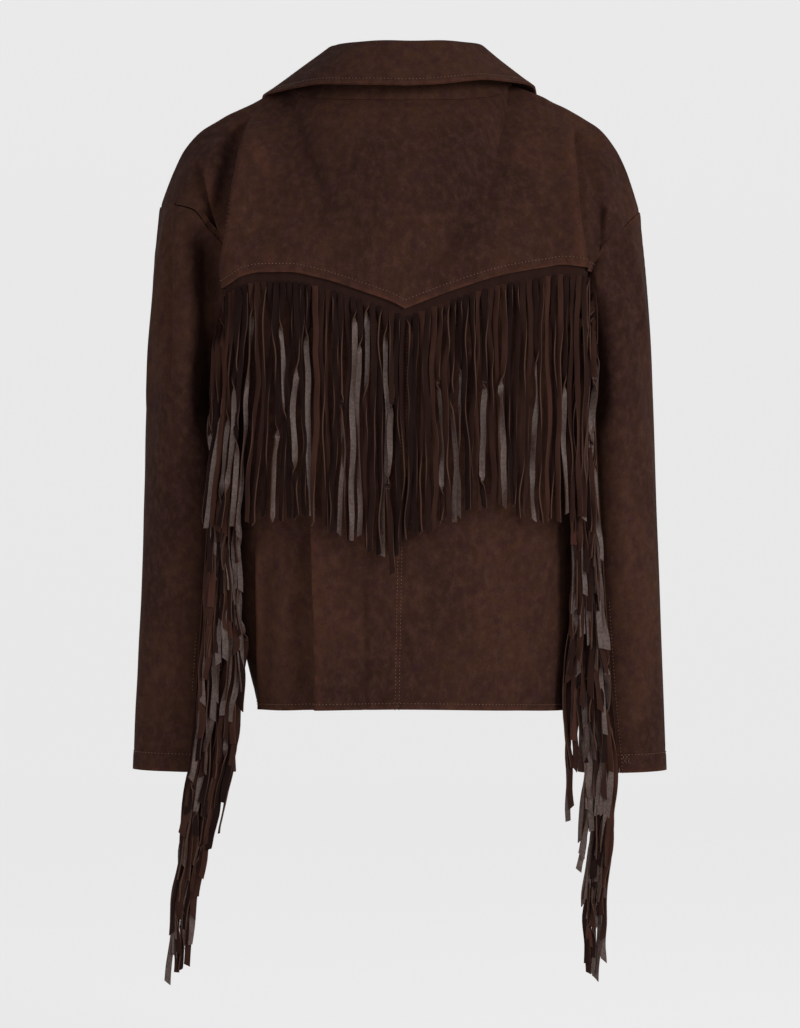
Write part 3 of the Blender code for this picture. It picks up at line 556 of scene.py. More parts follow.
# ---- edges, seams and stitches, in millimetres from the edge ----
SEAM_WIDTH, SEAM_PRESS, SEAM_DEPTH, SEAM_RUN = 3.0, 0.5, 5.0, 1.5
HEM_RUN, PUCKER_WIDTH = 2.5, 2.2
# the pleats' lighter crest: a painted highlight, as well as wear
PLEAT_HIGHLIGHT = (2.0, 5.0, 0.55)  # from a pleat's line, how far and how much
FREE_EDGE = (3.5, 0.8)  # how far in a free edge is worn, and how much
YOKE_STITCH, HEM_STITCH, CENTRE_STITCH, FRONT_STITCH = 8.5, 6.0, 1.9, 5.0
CUFF_STITCH, SLEEVE_STITCH, COLLAR_STITCH = 18.0, 3.0, 7.0
# the heights between which the fringe leaves the row beside the back sleeve seam in sight
SEAM_STITCHES = {LEFT: (-530.0, -590.0), RIGHT: (-500.0, -900.0)}
TACK_ACROSS, TACK_UP = (4.0, 11.0), (10.0, 18.0)  # from the seam and from the cuff's edge

# ---- how the shapes fade into one another ----
FOLD_END = 0.16  # the share of a fold's line in which it fades away
RIDGE_FADE, SIDE_FADE, TOP_FADE = 0.06, 0.08, 0.06  # shares of a panel, from its edges
SLEEVE_FOLD_START, SLEEVE_FOLD_END = 0.03, 0.1
LAST_U = 0.99  # how far past the middle a slope is read
SLIVER = 0.001  # this near to an edge a share counts as on it
FACING_RUN = 30.0  # how soon behind the side a fold of the back or front begins
PLEAT_SLIDE = (6.0, 5.0, 0.4)  # reach on a pleat's high and low side, and the low one's share
HALVINGS = 30  # enough to find a place on a surface
SHARP_FROM = 50.0  # the angle, in degrees, from which an edge stays sharp
ABOUT_A_TURN = 6.3

# ---- curves ----


def column(rows: Sequence[tuple], name: str) -> Array:
    """One named column of a table, as an array."""
    return np.array([getattr(row, name) for row in rows], float)


def through(knots: Array, values: Array, at: Array | float) -> Array:
    """Values on a smooth curve through a table's rows, which never swings past them.

    Args:
        knots: Where the rows are.
        values: The values there.
        at: Where the curve is read.

    Returns:
        The curve's values, held at the ends.
    """
    order = np.argsort(knots)
    knots, values = np.asarray(knots, float)[order], np.asarray(values, float)[order]
    step = np.diff(knots)
    slope = np.diff(values) / step
    before, after = slope[:-1], slope[1:]
    total = np.where(before * after > 0, before + after, 1.0)
    inner = np.where(before * after > 0, 2 * before * after / total, 0.0)
    tangent = np.concatenate([slope[:1], inner, slope[-1:]])
    at = np.clip(np.asarray(at, float), knots[0], knots[-1])
    i = np.clip(np.searchsorted(knots, at, side="right") - 1, 0, len(step) - 1)
    t = (at - knots[i]) / step[i]
    ease = t * t * (3 - 2 * t)
    bend = step[i] * (tangent[i] * t * (1 - t) ** 2 - tangent[i + 1] * t * t * (1 - t))
    return values[i] + (values[i + 1] - values[i]) * ease + bend


def table(rows: Sequence[tuple], name: str, at: Array | float) -> Array:
    """A table's column, read smoothly at values of its first column."""
    return through(column(rows, rows[0]._fields[0]), column(rows, name), at)


def smoothstep(t: Array | float) -> Array:
    """An S curve from 0 to 1."""
    t = np.clip(t, 0.0, 1.0)
    return t * t * (3 - 2 * t)


def unit(vector: Array) -> Array:
    """Vectors of length 1 along the last axis."""
    return vector / np.maximum(np.linalg.norm(vector, axis=-1, keepdims=True), 1e-9)


def bell(away: Array, width: Array | float) -> Array:
    """1 on a line, and softly down to nothing beyond a width of it."""
    return np.exp(-((away / width) ** 2))


def lengths(points: Array, axis: int = 0) -> Array:
    """Distance walked along one axis of a grid, from its first line."""
    steps = np.linalg.norm(np.diff(points, axis=axis), axis=-1)
    zero = np.zeros_like(np.take(steps, [0], axis=axis))
    return np.concatenate([zero, np.cumsum(steps, axis=axis)], axis=axis)


def waves(points: Array, size: float, seed: int) -> Array:
    """Soft uneven swells, from -1 to 1, of about that size in millimetres."""
    rng = np.random.default_rng(seed)
    total = np.zeros(points.shape[:-1])
    for _ in range(7):
        way = unit(rng.normal(size=3) * np.array([1.0, 1.0, 0.45]))
        beat = 2 * np.pi / (size * rng.uniform(0.7, 1.6))
        total += np.sin(points @ way * beat + rng.uniform(0, ABOUT_A_TURN))
    return total / 4.5


def crease(x: Array, z: Array, folds: Sequence[Fold]) -> Array:
    """How far folds push the cloth out at points seen square on.

    Args:
        x: Millimetres across.
        z: Millimetres up.
        folds: The folds.

    Returns:
        The push in millimetres.
    """
    push = np.zeros(np.broadcast(x, z).shape)
    for fold in folds:
        run = np.array([fold.x1 - fold.x0, fold.z1 - fold.z0], float)
        t = ((x - fold.x0) * run[0] + (z - fold.z0) * run[1]) / (run @ run)
        t = np.clip(t, 0.0, 1.0)
        away = np.hypot(x - fold.x0 - t * run[0], z - fold.z0 - t * run[1])
        push += fold.depth * bell(away, fold.width)
    return push


def fade_ends(t: Array) -> Array:
    """How much of a fold there is along its line: none at its two ends."""
    return smoothstep(t / FOLD_END) * smoothstep((1 - t) / FOLD_END)


def drape(points: Array, lean: float = 0.2) -> Array:
    """Cloth points with the folds of the side that they are on.

    Args:
        points: Points in millimetres.
        lean: How far a pleat leans over its low side, as a share of its height.

    Returns:
        The moved points.
    """
    moved = points.copy()
    high_run, low_run, low_share = PLEAT_SLIDE
    x, y, z = np.moveaxis(points, -1, 0)
    for face in Face:
        facing = smoothstep(face.value * y / FACING_RUN)
        for row in DRAPES[face]:
            t = (z - row.z0) / (row.z1 - row.z0)
            away = x - row.x0 - (row.x1 - row.x0) * np.clip(t, 0, 1)
            width = np.where(away < 0, row.left, row.right)
            push = row.depth * facing * fade_ends(t)
            moved[..., 1] += face.value * push * bell(away, width)
        for row in PLEATS[face]:
            away, t = row.away(x, z)
            amount = facing * fade_ends(t)
            high = row.lift * bell(np.maximum(away, 0), row.run_high)
            low = row.drop * bell(np.minimum(away, 0), row.run_low)
            over = smoothstep(away / row.sharp / 2 + 0.5)
            moved[..., 1] += face.value * amount * (high * over - low * (1 - over))
            reach = lean * (row.lift + row.drop) * amount
            slide = over * bell(away, high_run) - low_share * (1 - over) * bell(away, low_run)
            moved[..., 0] -= row.high * reach * slide
    return moved


# ---- the forms that the cloth lies on ----


def armhole_point(side: int, face: int, share: Array) -> Array:
    """A point of the armhole, from the shoulder's drop (0) to the underarm (1)."""
    rows = ARMHOLE[Side(side)]
    points = np.array([(row.out, row.depth, row.z) for row in rows], float)
    walk = lengths(points)
    out, depth, z = (through(walk / walk[-1], points[:, k], share) for k in range(3))
    return np.stack([side * out, face * depth, z], axis=-1)


def body_row(side: int, face: int, u: Array, share: Array) -> Array:
    """A point of the body without the shoulder line's own shape."""
    centre, rail = CENTRE[Face(face)], SIDE[Side(side)]
    x0 = table(centre, "x", share)
    y0 = face * table(centre, "depth", share)
    z0 = table(centre, "z", share)
    arm = armhole_point(side, face, np.clip(share / ARMHOLE_END, 0, 1))
    out, low = table(rail, "out", share), table(rail, "z", share)
    seam = np.stack([side * out, np.zeros_like(out), low], axis=-1)
    edge = np.where((share <= ARMHOLE_END)[..., None], arm, seam)
    power = table(ROUNDNESS, "power", share)
    r = np.sin(np.pi * u / 2)
    bulge = (1 - np.clip(np.abs(r), 0, 1) ** power) ** (1 / power)
    x = x0 + (edge[..., 0] - x0) * r
    y = edge[..., 1] + (y0 - edge[..., 1]) * bulge
    z = z0 + (edge[..., 2] - z0) * np.abs(r) ** DROP
    return np.stack([x, y, z], axis=-1)


def body(side: int, face: int, u: Array, share: Array) -> Array:
    """A point of the body's outer face.

    Args:
        side: The sign of X.
        face: The sign of Y.
        u: From the middle (0) to the armhole and side seam (1).
        share: From the neck and shoulder (0) to the hem (1).

    Returns:
        Points in millimetres.
    """
    u, share = np.broadcast_arrays(np.asarray(u, float), np.asarray(share, float))
    point = body_row(side, face, u, share)
    top = body_row(side, face, u, np.zeros_like(share))
    out = np.abs(top[..., 0])
    in_neck = out < NECK_HALF
    across = np.clip(out / NECK_HALF, 0, 1)
    neck_y = face * NECK_DEPTH[Face(face)] * np.sqrt(1 - across**2)
    want_y = np.where(in_neck, neck_y, 0.0)
    neck_z = table(NECK_HEIGHT[Face(face)], "z", across)
    want_z = np.where(in_neck, neck_z, table(RIDGE[Side(side)], "z", out))
    fade = np.clip(1 - share / SHOULDER_REACH, 0, 1) ** SHOULDER_FADE
    point[..., 1] += (want_y - top[..., 1]) * fade
    point[..., 2] += (want_z - top[..., 2]) * fade * smoothstep((1 - np.abs(u)) / RIDGE_FADE)
    near_edge = smoothstep((1 - np.abs(u)) / SIDE_FADE) * smoothstep(share / TOP_FADE)
    point[..., 1] += face * near_edge * crease(point[..., 0], point[..., 2], FOLDS[Face(face)])
    return point


def sleeve_oval(side: int, turn: Array, share: Array) -> Array:
    """A point of the sleeve's plain oval."""
    rows = SLEEVE[Side(side)]
    outer, inner = table(rows, "outer", share), table(rows, "inner", share)
    top, low = table(rows, "outer_z", share), table(rows, "inner_z", share)
    across, round_it = np.cos(turn), np.sin(turn)
    x = side * ((outer + inner) / 2 + (outer - inner) / 2 * across)
    y = -table(rows, "depth", share) * round_it
    z = (top + low) / 2 + (top - low) / 2 * across
    return np.stack([x, y, z], axis=-1)


def sleeve(side: int, turn: Array, share: Array) -> Array:
    """A point of the sleeve's outer face.

    Args:
        side: The sign of X.
        turn: 0 on the outer line and a quarter turn behind.
        share: From the armhole (0) to the cuff (1).

    Returns:
        Points in millimetres.
    """
    turn, share = np.broadcast_arrays(np.asarray(turn, float), np.asarray(share, float))
    turn = (turn + np.pi) % (2 * np.pi) - np.pi
    point = sleeve_oval(side, turn, share)
    start = sleeve_oval(side, turn, np.zeros_like(share))
    behind = armhole_point(side, BACK.value, np.abs(turn) / np.pi)
    before = armhole_point(side, FRONT.value, np.abs(turn) / np.pi)
    armhole = np.where((turn >= 0)[..., None], behind, before)
    fade = np.clip(1 - share / ARMHOLE_REACH, 0, 1) ** 2
    point = point + (armhole - start) * fade[..., None]
    push = np.zeros(turn.shape)
    for fold in SLEEVE_FOLDS + SLEEVE_CREASES[Side(side)]:
        reach = smoothstep((fold.share1 - share) / SLEEVE_FOLD_END)
        reach = reach * smoothstep((share - fold.share0) / SLEEVE_FOLD_START)
        away = np.degrees(turn) - fold.degrees
        push += fold.depth * reach * bell(away, fold.width)
    out = np.stack([side * np.cos(turn), -np.sin(turn), np.zeros(turn.shape)], axis=-1)
    point = point + out * push[..., None]
    point[..., 0] += side * UNDERARM_SHIFT * smoothstep(
        (np.abs(turn) / np.pi - UNDERARM_FROM) / UNDERARM_RUN
    )
    return point + np.array([side * SLEEVE_SHIFT[0], 0.0, SLEEVE_SHIFT[1]])


def share_at_yoke(side: int, u: Array, above: float) -> Array:
    """The share where each column meets the line that far above the yoke edge."""
    low, high = (np.full(len(u), share) for share in YOKE_SHARES)
    for _ in range(HALVINGS):
        middle = (low + high) / 2
        x, _, z = np.moveaxis(body(side, BACK.value, u, middle), -1, 0)
        across = side * (x - CENTRE[BACK][0].x)
        over = z > table(YOKE_EDGE[Side(side)], "z", across) + above
        low, high = np.where(over, middle, low), np.where(over, high, middle)
    return (low + high) / 2


# ---- sheets of cloth ----


@dataclass
class Cloth:
    """A piece of cloth as a grid of outer points, with what its edges need."""

    name: str
    outer: Array
    normal: Array
    thick: float = CLOTH

    def __post_init__(self) -> None:
        """Works out how far each point is from each of the four edges."""
        down, over = lengths(self.outer, 0), lengths(self.outer, 1)
        self.from_top, self.from_bottom = down, down[-1:] - down
        self.from_first, self.from_last = over, over[:, -1:] - over
        self.wear = np.zeros(down.shape)
        self.depth = np.full(down.shape, self.thick)

    def seam(self, *distances: Array) -> None:
        """Presses sewn edges in and turns their allowances in, so that no slit shows."""
        for distance in distances:
            self.press(distance, SEAM_WIDTH, SEAM_PRESS)
            turned = smoothstep((SEAM_WIDTH - distance) / SEAM_RUN)
            turned = self.thick + (SEAM_DEPTH - self.thick) * turned
            self.depth = np.maximum(self.depth, turned)

    def rub(self, distance: Array, width: float, amount: float) -> None:
        """Makes the nap lighter and redder within a width of an edge: worn nap, and on pleat
        crests, a spot and the yoke's edge a painted highlight.
        """
        self.wear = np.maximum(self.wear, amount * bell(distance, width))

    def rub_pleats(self, face: Face) -> None:
        """Paints lighter, redder nap along the high side of each pleat: a painted highlight on its
        crest, as well as wear there.
        """
        x, _, z = np.moveaxis(self.outer, -1, 0)
        for row in PLEATS[face]:
            away, t = row.away(x, z)
            at, width, amount = PLEAT_HIGHLIGHT
            self.rub(away - at, width, amount * fade_ends(t))

    def press(self, distance: Array, width: float, depth: float) -> None:
        """Presses the cloth in near an edge, as a sewn seam does."""
        self.outer = self.outer - self.normal * (depth * bell(distance, width))[..., None]

    def swell(self, distance: Array, width: float, height: float) -> None:
        """Thickens the cloth within a width of an edge, as a turned hem does."""
        lift = height * smoothstep((width - distance) / HEM_RUN)
        self.outer = self.outer + self.normal * lift[..., None]

    def pucker(self, distance: Array, at: float, pitch: float, depth: float) -> None:
        """Draws the cloth in along a row of stitches, unevenly."""
        level = distance is self.from_top or distance is self.from_bottom
        walk = (self.from_first if level else self.from_top) * 2 * np.pi
        beat = np.sin(walk / pitch) + 0.6 * np.sin(walk / (pitch * 1.7) + 1.1)
        push = depth * (0.6 + 0.4 * beat) * bell(distance - at, PUCKER_WIDTH)
        self.outer = self.outer - self.normal * push[..., None]

    def inset(self, distance: Array, at: float, lift: float) -> Array:
        """A line on the cloth that keeps its distance from an edge.

        Args:
            distance: Distances of the grid's points from that edge.
            at: The distance to keep.
            lift: How far the line stands off the cloth.

        Returns:
            The line's points.
        """
        points, normal, away = self.outer, self.normal, distance
        if distance is self.from_first or distance is self.from_last:
            points, normal, away = (np.swapaxes(a, 0, 1) for a in (points, normal, away))
        line = []
        for j in range(away.shape[1]):
            order = np.argsort(away[:, j])
            spot = [np.interp(at, away[order, j], points[order, j, k]) for k in range(3)]
            out = [np.interp(at, away[order, j], normal[order, j, k]) for k in range(3)]
            line.append(np.array(spot) + unit(np.array(out)) * lift)
        return np.array(line)

    def build(self) -> Object:
        """Makes the closed wall, with its UV map in metres and its worn places and painted
        highlights.

        Returns:
            The mesh object, at the origin.
        """
        rows, columns = self.outer.shape[:2]
        inner = self.outer - self.normal * self.depth[..., None]
        points = np.concatenate([self.outer.reshape(-1, 3), inner.reshape(-1, 3)]) * MM
        index = np.arange(rows * columns).reshape(rows, columns)
        a, b, c, d = index[:-1, :-1], index[:-1, 1:], index[1:, 1:], index[1:, :-1]
        front = np.stack([a, b, c, d], axis=-1).reshape(-1, 4)
        behind = front[:, ::-1] + rows * columns
        ring = np.concatenate([index[0, :], index[1:, -1], index[-1, -2::-1], index[-2:0:-1, 0]])
        after = np.roll(ring, -1)
        rim = np.stack([after, ring, ring + rows * columns, after + rows * columns], axis=-1)
        faces = np.concatenate([front, behind, rim])
        cross = np.cross(self.outer[0, 1] - self.outer[0, 0], self.outer[1, 0] - self.outer[0, 0])
        if cross @ self.normal[0, 0] < 0:
            faces = faces[:, ::-1]
        mesh = mesh_of(self.name, points, faces)
        # worn nap and painted highlights, kept on the mesh for the suede's colour
        wear = mesh.attributes.new("wear", "FLOAT", "POINT")
        wear.data.foreach_set("value", np.tile(self.wear.ravel(), 2).astype(np.float32))
        uv = mesh.uv_layers.new(name="cloth")
        flat = np.stack([self.from_first.ravel(), self.from_bottom.ravel()], axis=-1) * MM
        loops = np.empty(len(mesh.loops), np.int32)
        mesh.loops.foreach_get("vertex_index", loops)
        uv.data.foreach_set("uv", flat[loops % (rows * columns)].ravel().astype(np.float32))
        return object_of(self.name, mesh)

    def declare(self, piece: Object, rests_on: list[str], extras: list) -> None:
        """Does nothing: the cut that the piece shows is not stated here."""


def mesh_of(name: str, points: Array, faces: Array) -> bpy.types.Mesh:
    """A mesh, shaded smooth but for its edges."""
    mesh = bpy.data.meshes.new(name)
    mesh.from_pydata(points.tolist(), [], [[int(v) for v in face] for face in faces])
    mesh.update()
    mesh.shade_smooth()
    mesh.set_sharp_from_angle(angle=math.radians(SHARP_FROM))
    return mesh


def object_of(name: str, data: bpy.types.ID) -> Object:
    """An object at the origin that shows a mesh, light or camera."""
    made = bpy.data.objects.new(name, data)
    bpy.context.scene.collection.objects.link(made)
    return made


def dress(piece: Object, finish: Material, slot: str, *nodes: str) -> None:
    """Gives a piece its finish, its place on the body and the solids that it stands for.

    Args:
        piece: The finished piece.
        finish: Its material.
        slot: Not used.
        *nodes: The solids that it replaces.
    """
    if not piece.data.materials:
        piece.data.materials.append(finish)
    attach(piece, "root")
    if nodes:
        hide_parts(*nodes)
    LOG.info("%s: %d faces", piece.name, len(piece.data.polygons))


# ---- body ----


def normals(surface: Callable[[Array, Array], Array], u: Array, v: Array, outward: Array) -> Array:
    """Unit normals of a surface by small steps, turned to the side that outward gives.

    Args:
        surface: Gives points for two parameters.
        u: The first parameter.
        v: The second parameter.
        outward: A direction on the wanted side for each point.

    Returns:
        A normal for each point.
    """
    small = 1e-3
    along_u = surface(u + small, v) - surface(u - small, v)
    along_v = surface(u, v + small) - surface(u, v - small)
    normal = unit(np.cross(along_u, along_v))
    turned = (normal * outward).sum(axis=-1, keepdims=True) < 0
    return np.where(turned, -normal, normal)


def body_sheet(side: int, face: int, u: Array, shares: Array) -> tuple[Array, Array]:
    """Outer points and normals of a part of the body.

    Args:
        side: The sign of X.
        face: The sign of Y.
        u: A value for each column.
        shares: Rows of shares, one for each column.

    Returns:
        The points in millimetres, and their normals.
    """
    u = np.broadcast_to(np.asarray(u, float), shares.shape)

    def surface(a: Array, b: Array) -> Array:
        return body(side, face, np.clip(a, -LAST_U, 1), np.clip(b, 0, 1))

    points = body(side, face, u, shares)
    outward = np.stack([side * u**4, face + 0 * u, 0.2 + 0 * u], axis=-1)
    normal = normals(surface, u, shares, outward)
    at_side = (np.abs(u) > 1 - SLIVER) & (shares > ARMHOLE_END - SLIVER)
    at_ridge = (shares < SLIVER) & (np.abs(points[..., 0]) > NECK_HALF)
    for flat in (at_side, at_ridge):
        normal[flat, 1] = 0
        normal[flat] = unit(normal[flat])
    points[..., 1] += face * SEAM_GAP / 2
    return drape(points), normal


def joined(halves: Sequence[tuple[Array, Array]]) -> tuple[Array, Array]:
    """The points and normals of a left and a right half, both from the middle, as one sheet."""
    left, right = halves
    points, normal = (np.concatenate([a[:, ::-1], b[:, 1:]], axis=1) for a, b in zip(left, right))
    return points, normal


def finer(values: Sequence[float], times: int) -> Array:
    """Values with more of them between each two."""
    at = np.linspace(0, len(values) - 1, (len(values) - 1) * times + 1)
    return np.interp(at, np.arange(len(values)), values)


@dataclass
class Body:
    """The yoke, the two backs and the two fronts."""

    suede: Material
    fineness: int = 10
    row_step: float = 4.5
    swell: float = 1.1
    ripple: float = 0.35
    swell_fade: float = 30.0
    hem_band: float = 7.0
    facing: float = 24.0
    cloths: dict[str, Cloth] = field(default_factory=dict)

    def relax(self, cloth: Cloth, seed: int, free: tuple[bool, bool, bool, bool]) -> None:
        """Gives a sheet soft uneven swells that fade out at its sewn edges.

        Args:
            cloth: The sheet.
            seed: Which swells.
            free: Whether the top, bottom, first and last edges are free.
        """
        away = [cloth.from_top, cloth.from_bottom, cloth.from_first, cloth.from_last]
        near = np.min([d for d, is_free in zip(away, free) if not is_free], axis=0)
        fade = smoothstep(near / self.swell_fade)
        push = self.swell * waves(cloth.outer, size=95, seed=seed)
        push += self.ripple * waves(cloth.outer, size=30, seed=seed + 50)
        cloth.outer = cloth.outer + cloth.normal * (push * fade)[..., None]

    def down(self, length: float) -> Array:
        """Shares of the way down a sheet of about that length, one for each row."""
        return np.linspace(0, 1, int(length / self.row_step))[:, None]

    def make_yoke(self) -> Cloth:
        """The yoke: it stands off the backs towards its edge, over the fringe."""
        halves = []
        for side in (LEFT.value, RIGHT.value):
            u = finer(COLUMNS, self.fineness)
            shares = self.down(235) * share_at_yoke(side, u, 0.0)
            points, normal = body_sheet(side, BACK.value, u, shares)
            below = points[..., 2] - points[-1:, :, 2]
            lift = YOKE_LIFT * smoothstep(1 - below / YOKE_LIFT_RUN)
            halves.append((points + normal * lift[..., None], normal))
        (left, _), (right, _) = halves
        left[:, 0] = (left[:, 0] + right[:, 0]) / 2
        cloth = Cloth("yoke_cloth", *joined(halves))
        self.relax(cloth, 3, (False, False, False, False))
        cloth.seam(cloth.from_first, cloth.from_last, cloth.from_top)
        cloth.swell(cloth.from_bottom, self.hem_band, height=0.7)
        cloth.pucker(cloth.from_bottom, YOKE_STITCH, pitch=9.0, depth=0.35)
        # a thin pale line along the edge: a painted highlight on the turned edge, as well as wear
        cloth.rub(cloth.from_bottom, width=1.4, amount=1.0)
        cloth.rub(cloth.from_bottom, width=10.0, amount=0.15)
        cloth.rub(cloth.from_top, width=2.0, amount=0.7)
        cloth.rub(cloth.from_last, width=4.0, amount=0.3)
        cloth.rub(cloth.from_first, width=4.0, amount=0.3)
        cloth.rub_pleats(BACK)
        # pale spots; the first is a painted highlight on the left pleat's crest
        for spot in PALE_SPOTS:
            x, _, z = np.moveaxis(cloth.outer, -1, 0)
            cloth.rub(np.hypot(x - spot.x, 0.6 * (z - spot.z)), spot.size, amount=0.95)
        return cloth

    def make_back(self, side: Side) -> Cloth:
        """A back panel, from under the yoke to the hem."""
        u = finer(COLUMNS, self.fineness)
        top = share_at_yoke(side.value, u, YOKE_LAP)
        shares = top + (1 - top) * self.down(430)
        points, normal = body_sheet(side.value, BACK.value, u, shares)
        normal[:, 0, 0] = 0
        normal[:, 0] = unit(normal[:, 0])
        points[..., 0] += side.value * 0.02  # so that the two halves don't quite touch
        cloth = Cloth(f"back_{side.word}_cloth", points, normal)
        self.relax(cloth, 11 + side.value, (False, True, False, False))
        across, up = CORNER_RUN
        corner = np.exp(-((cloth.from_last / across) ** 2) - (cloth.from_bottom / up) ** 2)
        cloth.outer[..., 2] += CORNER_LIFT[side] * corner
        cloth.seam(cloth.from_first, cloth.from_last)
        cloth.swell(cloth.from_bottom, self.hem_band, height=0.5)
        cloth.pucker(cloth.from_bottom, HEM_STITCH, pitch=13.0, depth=0.4)
        cloth.pucker(cloth.from_first, CENTRE_STITCH, pitch=11.0, depth=0.3)
        cloth.rub(cloth.from_bottom, *FREE_EDGE)
        cloth.rub(cloth.from_first, width=4.0, amount=0.25)
        cloth.rub_pleats(BACK)
        return cloth

    def make_front(self, side: Side) -> Cloth:
        """A front panel, which laps the other at the middle."""
        reach = LAP / HALF_CHEST * 2 / np.pi
        u = finer([-reach, 0.0, reach, *COLUMNS[1:]], self.fineness)
        points, normal = body_sheet(side.value, FRONT.value, u, self.down(600) * np.ones(len(u)))
        points[0, :, 1] -= 0.3  # a little past the yoke's edge, so that no light shows
        if side is RIGHT:
            over = smoothstep((LAP + LAP_RUN - points[..., 0]) / LAP_RUN)
            points = points + normal * (LAP_LIFT * over)[..., None]
        cloth = Cloth(f"front_{side.word}_cloth", points, normal)
        self.relax(cloth, 31 + side.value, (False, True, False, False))
        cloth.seam(cloth.from_last, cloth.from_top)
        cloth.swell(cloth.from_first, self.facing, height=0.3)
        cloth.rub(cloth.from_first, *FREE_EDGE)
        cloth.rub(cloth.from_bottom, *FREE_EDGE)
        return cloth

    def build(self, fringe: Object) -> None:
        """Args:
            fringe: The fringe that is sewn under the yoke.
        """
        made = [self.make_yoke()]
        for side in Side:
            made += [self.make_back(side), self.make_front(side)]
        for cloth in made:
            piece = cloth.build()
            node = cloth.name.removesuffix("_cloth").replace("yoke", "yoke_back")
            dress(piece, self.suede, "suede", node)
            cloth.declare(piece, ["collar_cloth"], [fringe] if "yoke" in node else [])
            self.cloths[node] = cloth


# ---- sleeves ----


def back_seam(side: Side, share: Array) -> Array:
    """Where the back sleeve seam lies, as a turn round the sleeve."""
    at_edge = share_at_yoke(side.value, np.array([1.0]), BACK_SEAM_RISE)[0]
    start = float(at_edge) / ARMHOLE_END * np.pi
    even = smoothstep(share / SLEEVE_SPREAD)
    return start + (np.radians(table(SEAM_TURN[BACK], "degrees", share)) - start) * even


def sleeve_sheet(side: Side, turns: Array, shares: Array) -> tuple[Array, Array]:
    """Outer points and normals of a part of a sleeve."""

    def surface(a: Array, b: Array) -> Array:
        return sleeve(side.value, a, np.clip(b, 0, 1))

    out = np.stack([side.value * np.cos(turns), -np.sin(turns), np.zeros(turns.shape)], axis=-1)
    return drape(sleeve(side.value, turns, shares)), normals(surface, turns, shares, out)


@dataclass
class Sleeves:
    """Two sleeves, each cut as a top and an under piece."""

    suede: Material
    columns: int = 104
    rows: int = 124
    slit: float = 0.15
    swell: float = 1.3
    ripple: float = 0.35
    swell_fade: float = 25.0
    cloths: dict[str, Cloth] = field(default_factory=dict)

    def make(self, side: Side, part: str) -> Cloth:
        """One piece of a sleeve.

        Args:
            side: Which sleeve.
            part: Its top or its under piece.

        Returns:
            The piece as cloth.
        """
        share = np.linspace(0, 1, self.rows)[:, None] * np.ones(self.columns)
        t = np.linspace(0, 1, self.columns)
        back = back_seam(side, share)
        front = np.radians(table(SEAM_TURN[FRONT], "degrees", share))
        gap = self.slit / SLEEVE_RADIUS
        first, last = (-front, back) if part == "top" else (back, 2 * np.pi - front)
        turns = first + gap + (last - first - 2 * gap) * t
        points, normal = sleeve_sheet(side, turns, share)
        cloth = Cloth(f"sleeve_{part}_{side.word}_cloth", points, normal)
        near = np.min([cloth.from_top, cloth.from_first, cloth.from_last], axis=0)
        drawn = points * np.array([1, 1, 0.6])
        push = self.swell * waves(drawn, size=80, seed=71 + side.value + len(part))
        push += self.ripple * waves(points, size=26, seed=91 + side.value)
        cloth.outer = cloth.outer + normal * (push * smoothstep(near / self.swell_fade))[..., None]
        cloth.seam(cloth.from_top, cloth.from_first, cloth.from_last)
        cloth.swell(cloth.from_bottom, CUFF_STITCH, height=0.5)
        cloth.pucker(cloth.from_bottom, CUFF_STITCH, pitch=12.0, depth=0.3)
        cloth.rub(cloth.from_bottom, *FREE_EDGE)
        cloth.rub(cloth.from_top, width=4.5, amount=0.3)
        return cloth

    def build(self, fringes: dict[Side, Object]) -> None:
        for side in Side:
            for part in ("top", "under"):
                cloth = self.make(side, part)
                piece = cloth.build()
                node = cloth.name.removesuffix("_cloth")
                dress(piece, self.suede, "suede", node)
                extras = [fringes[side]] if part == "top" else []
                cloth.declare(piece, [f"front_{side.word}_cloth"], extras)
                self.cloths[node] = cloth


# ---- collar ----


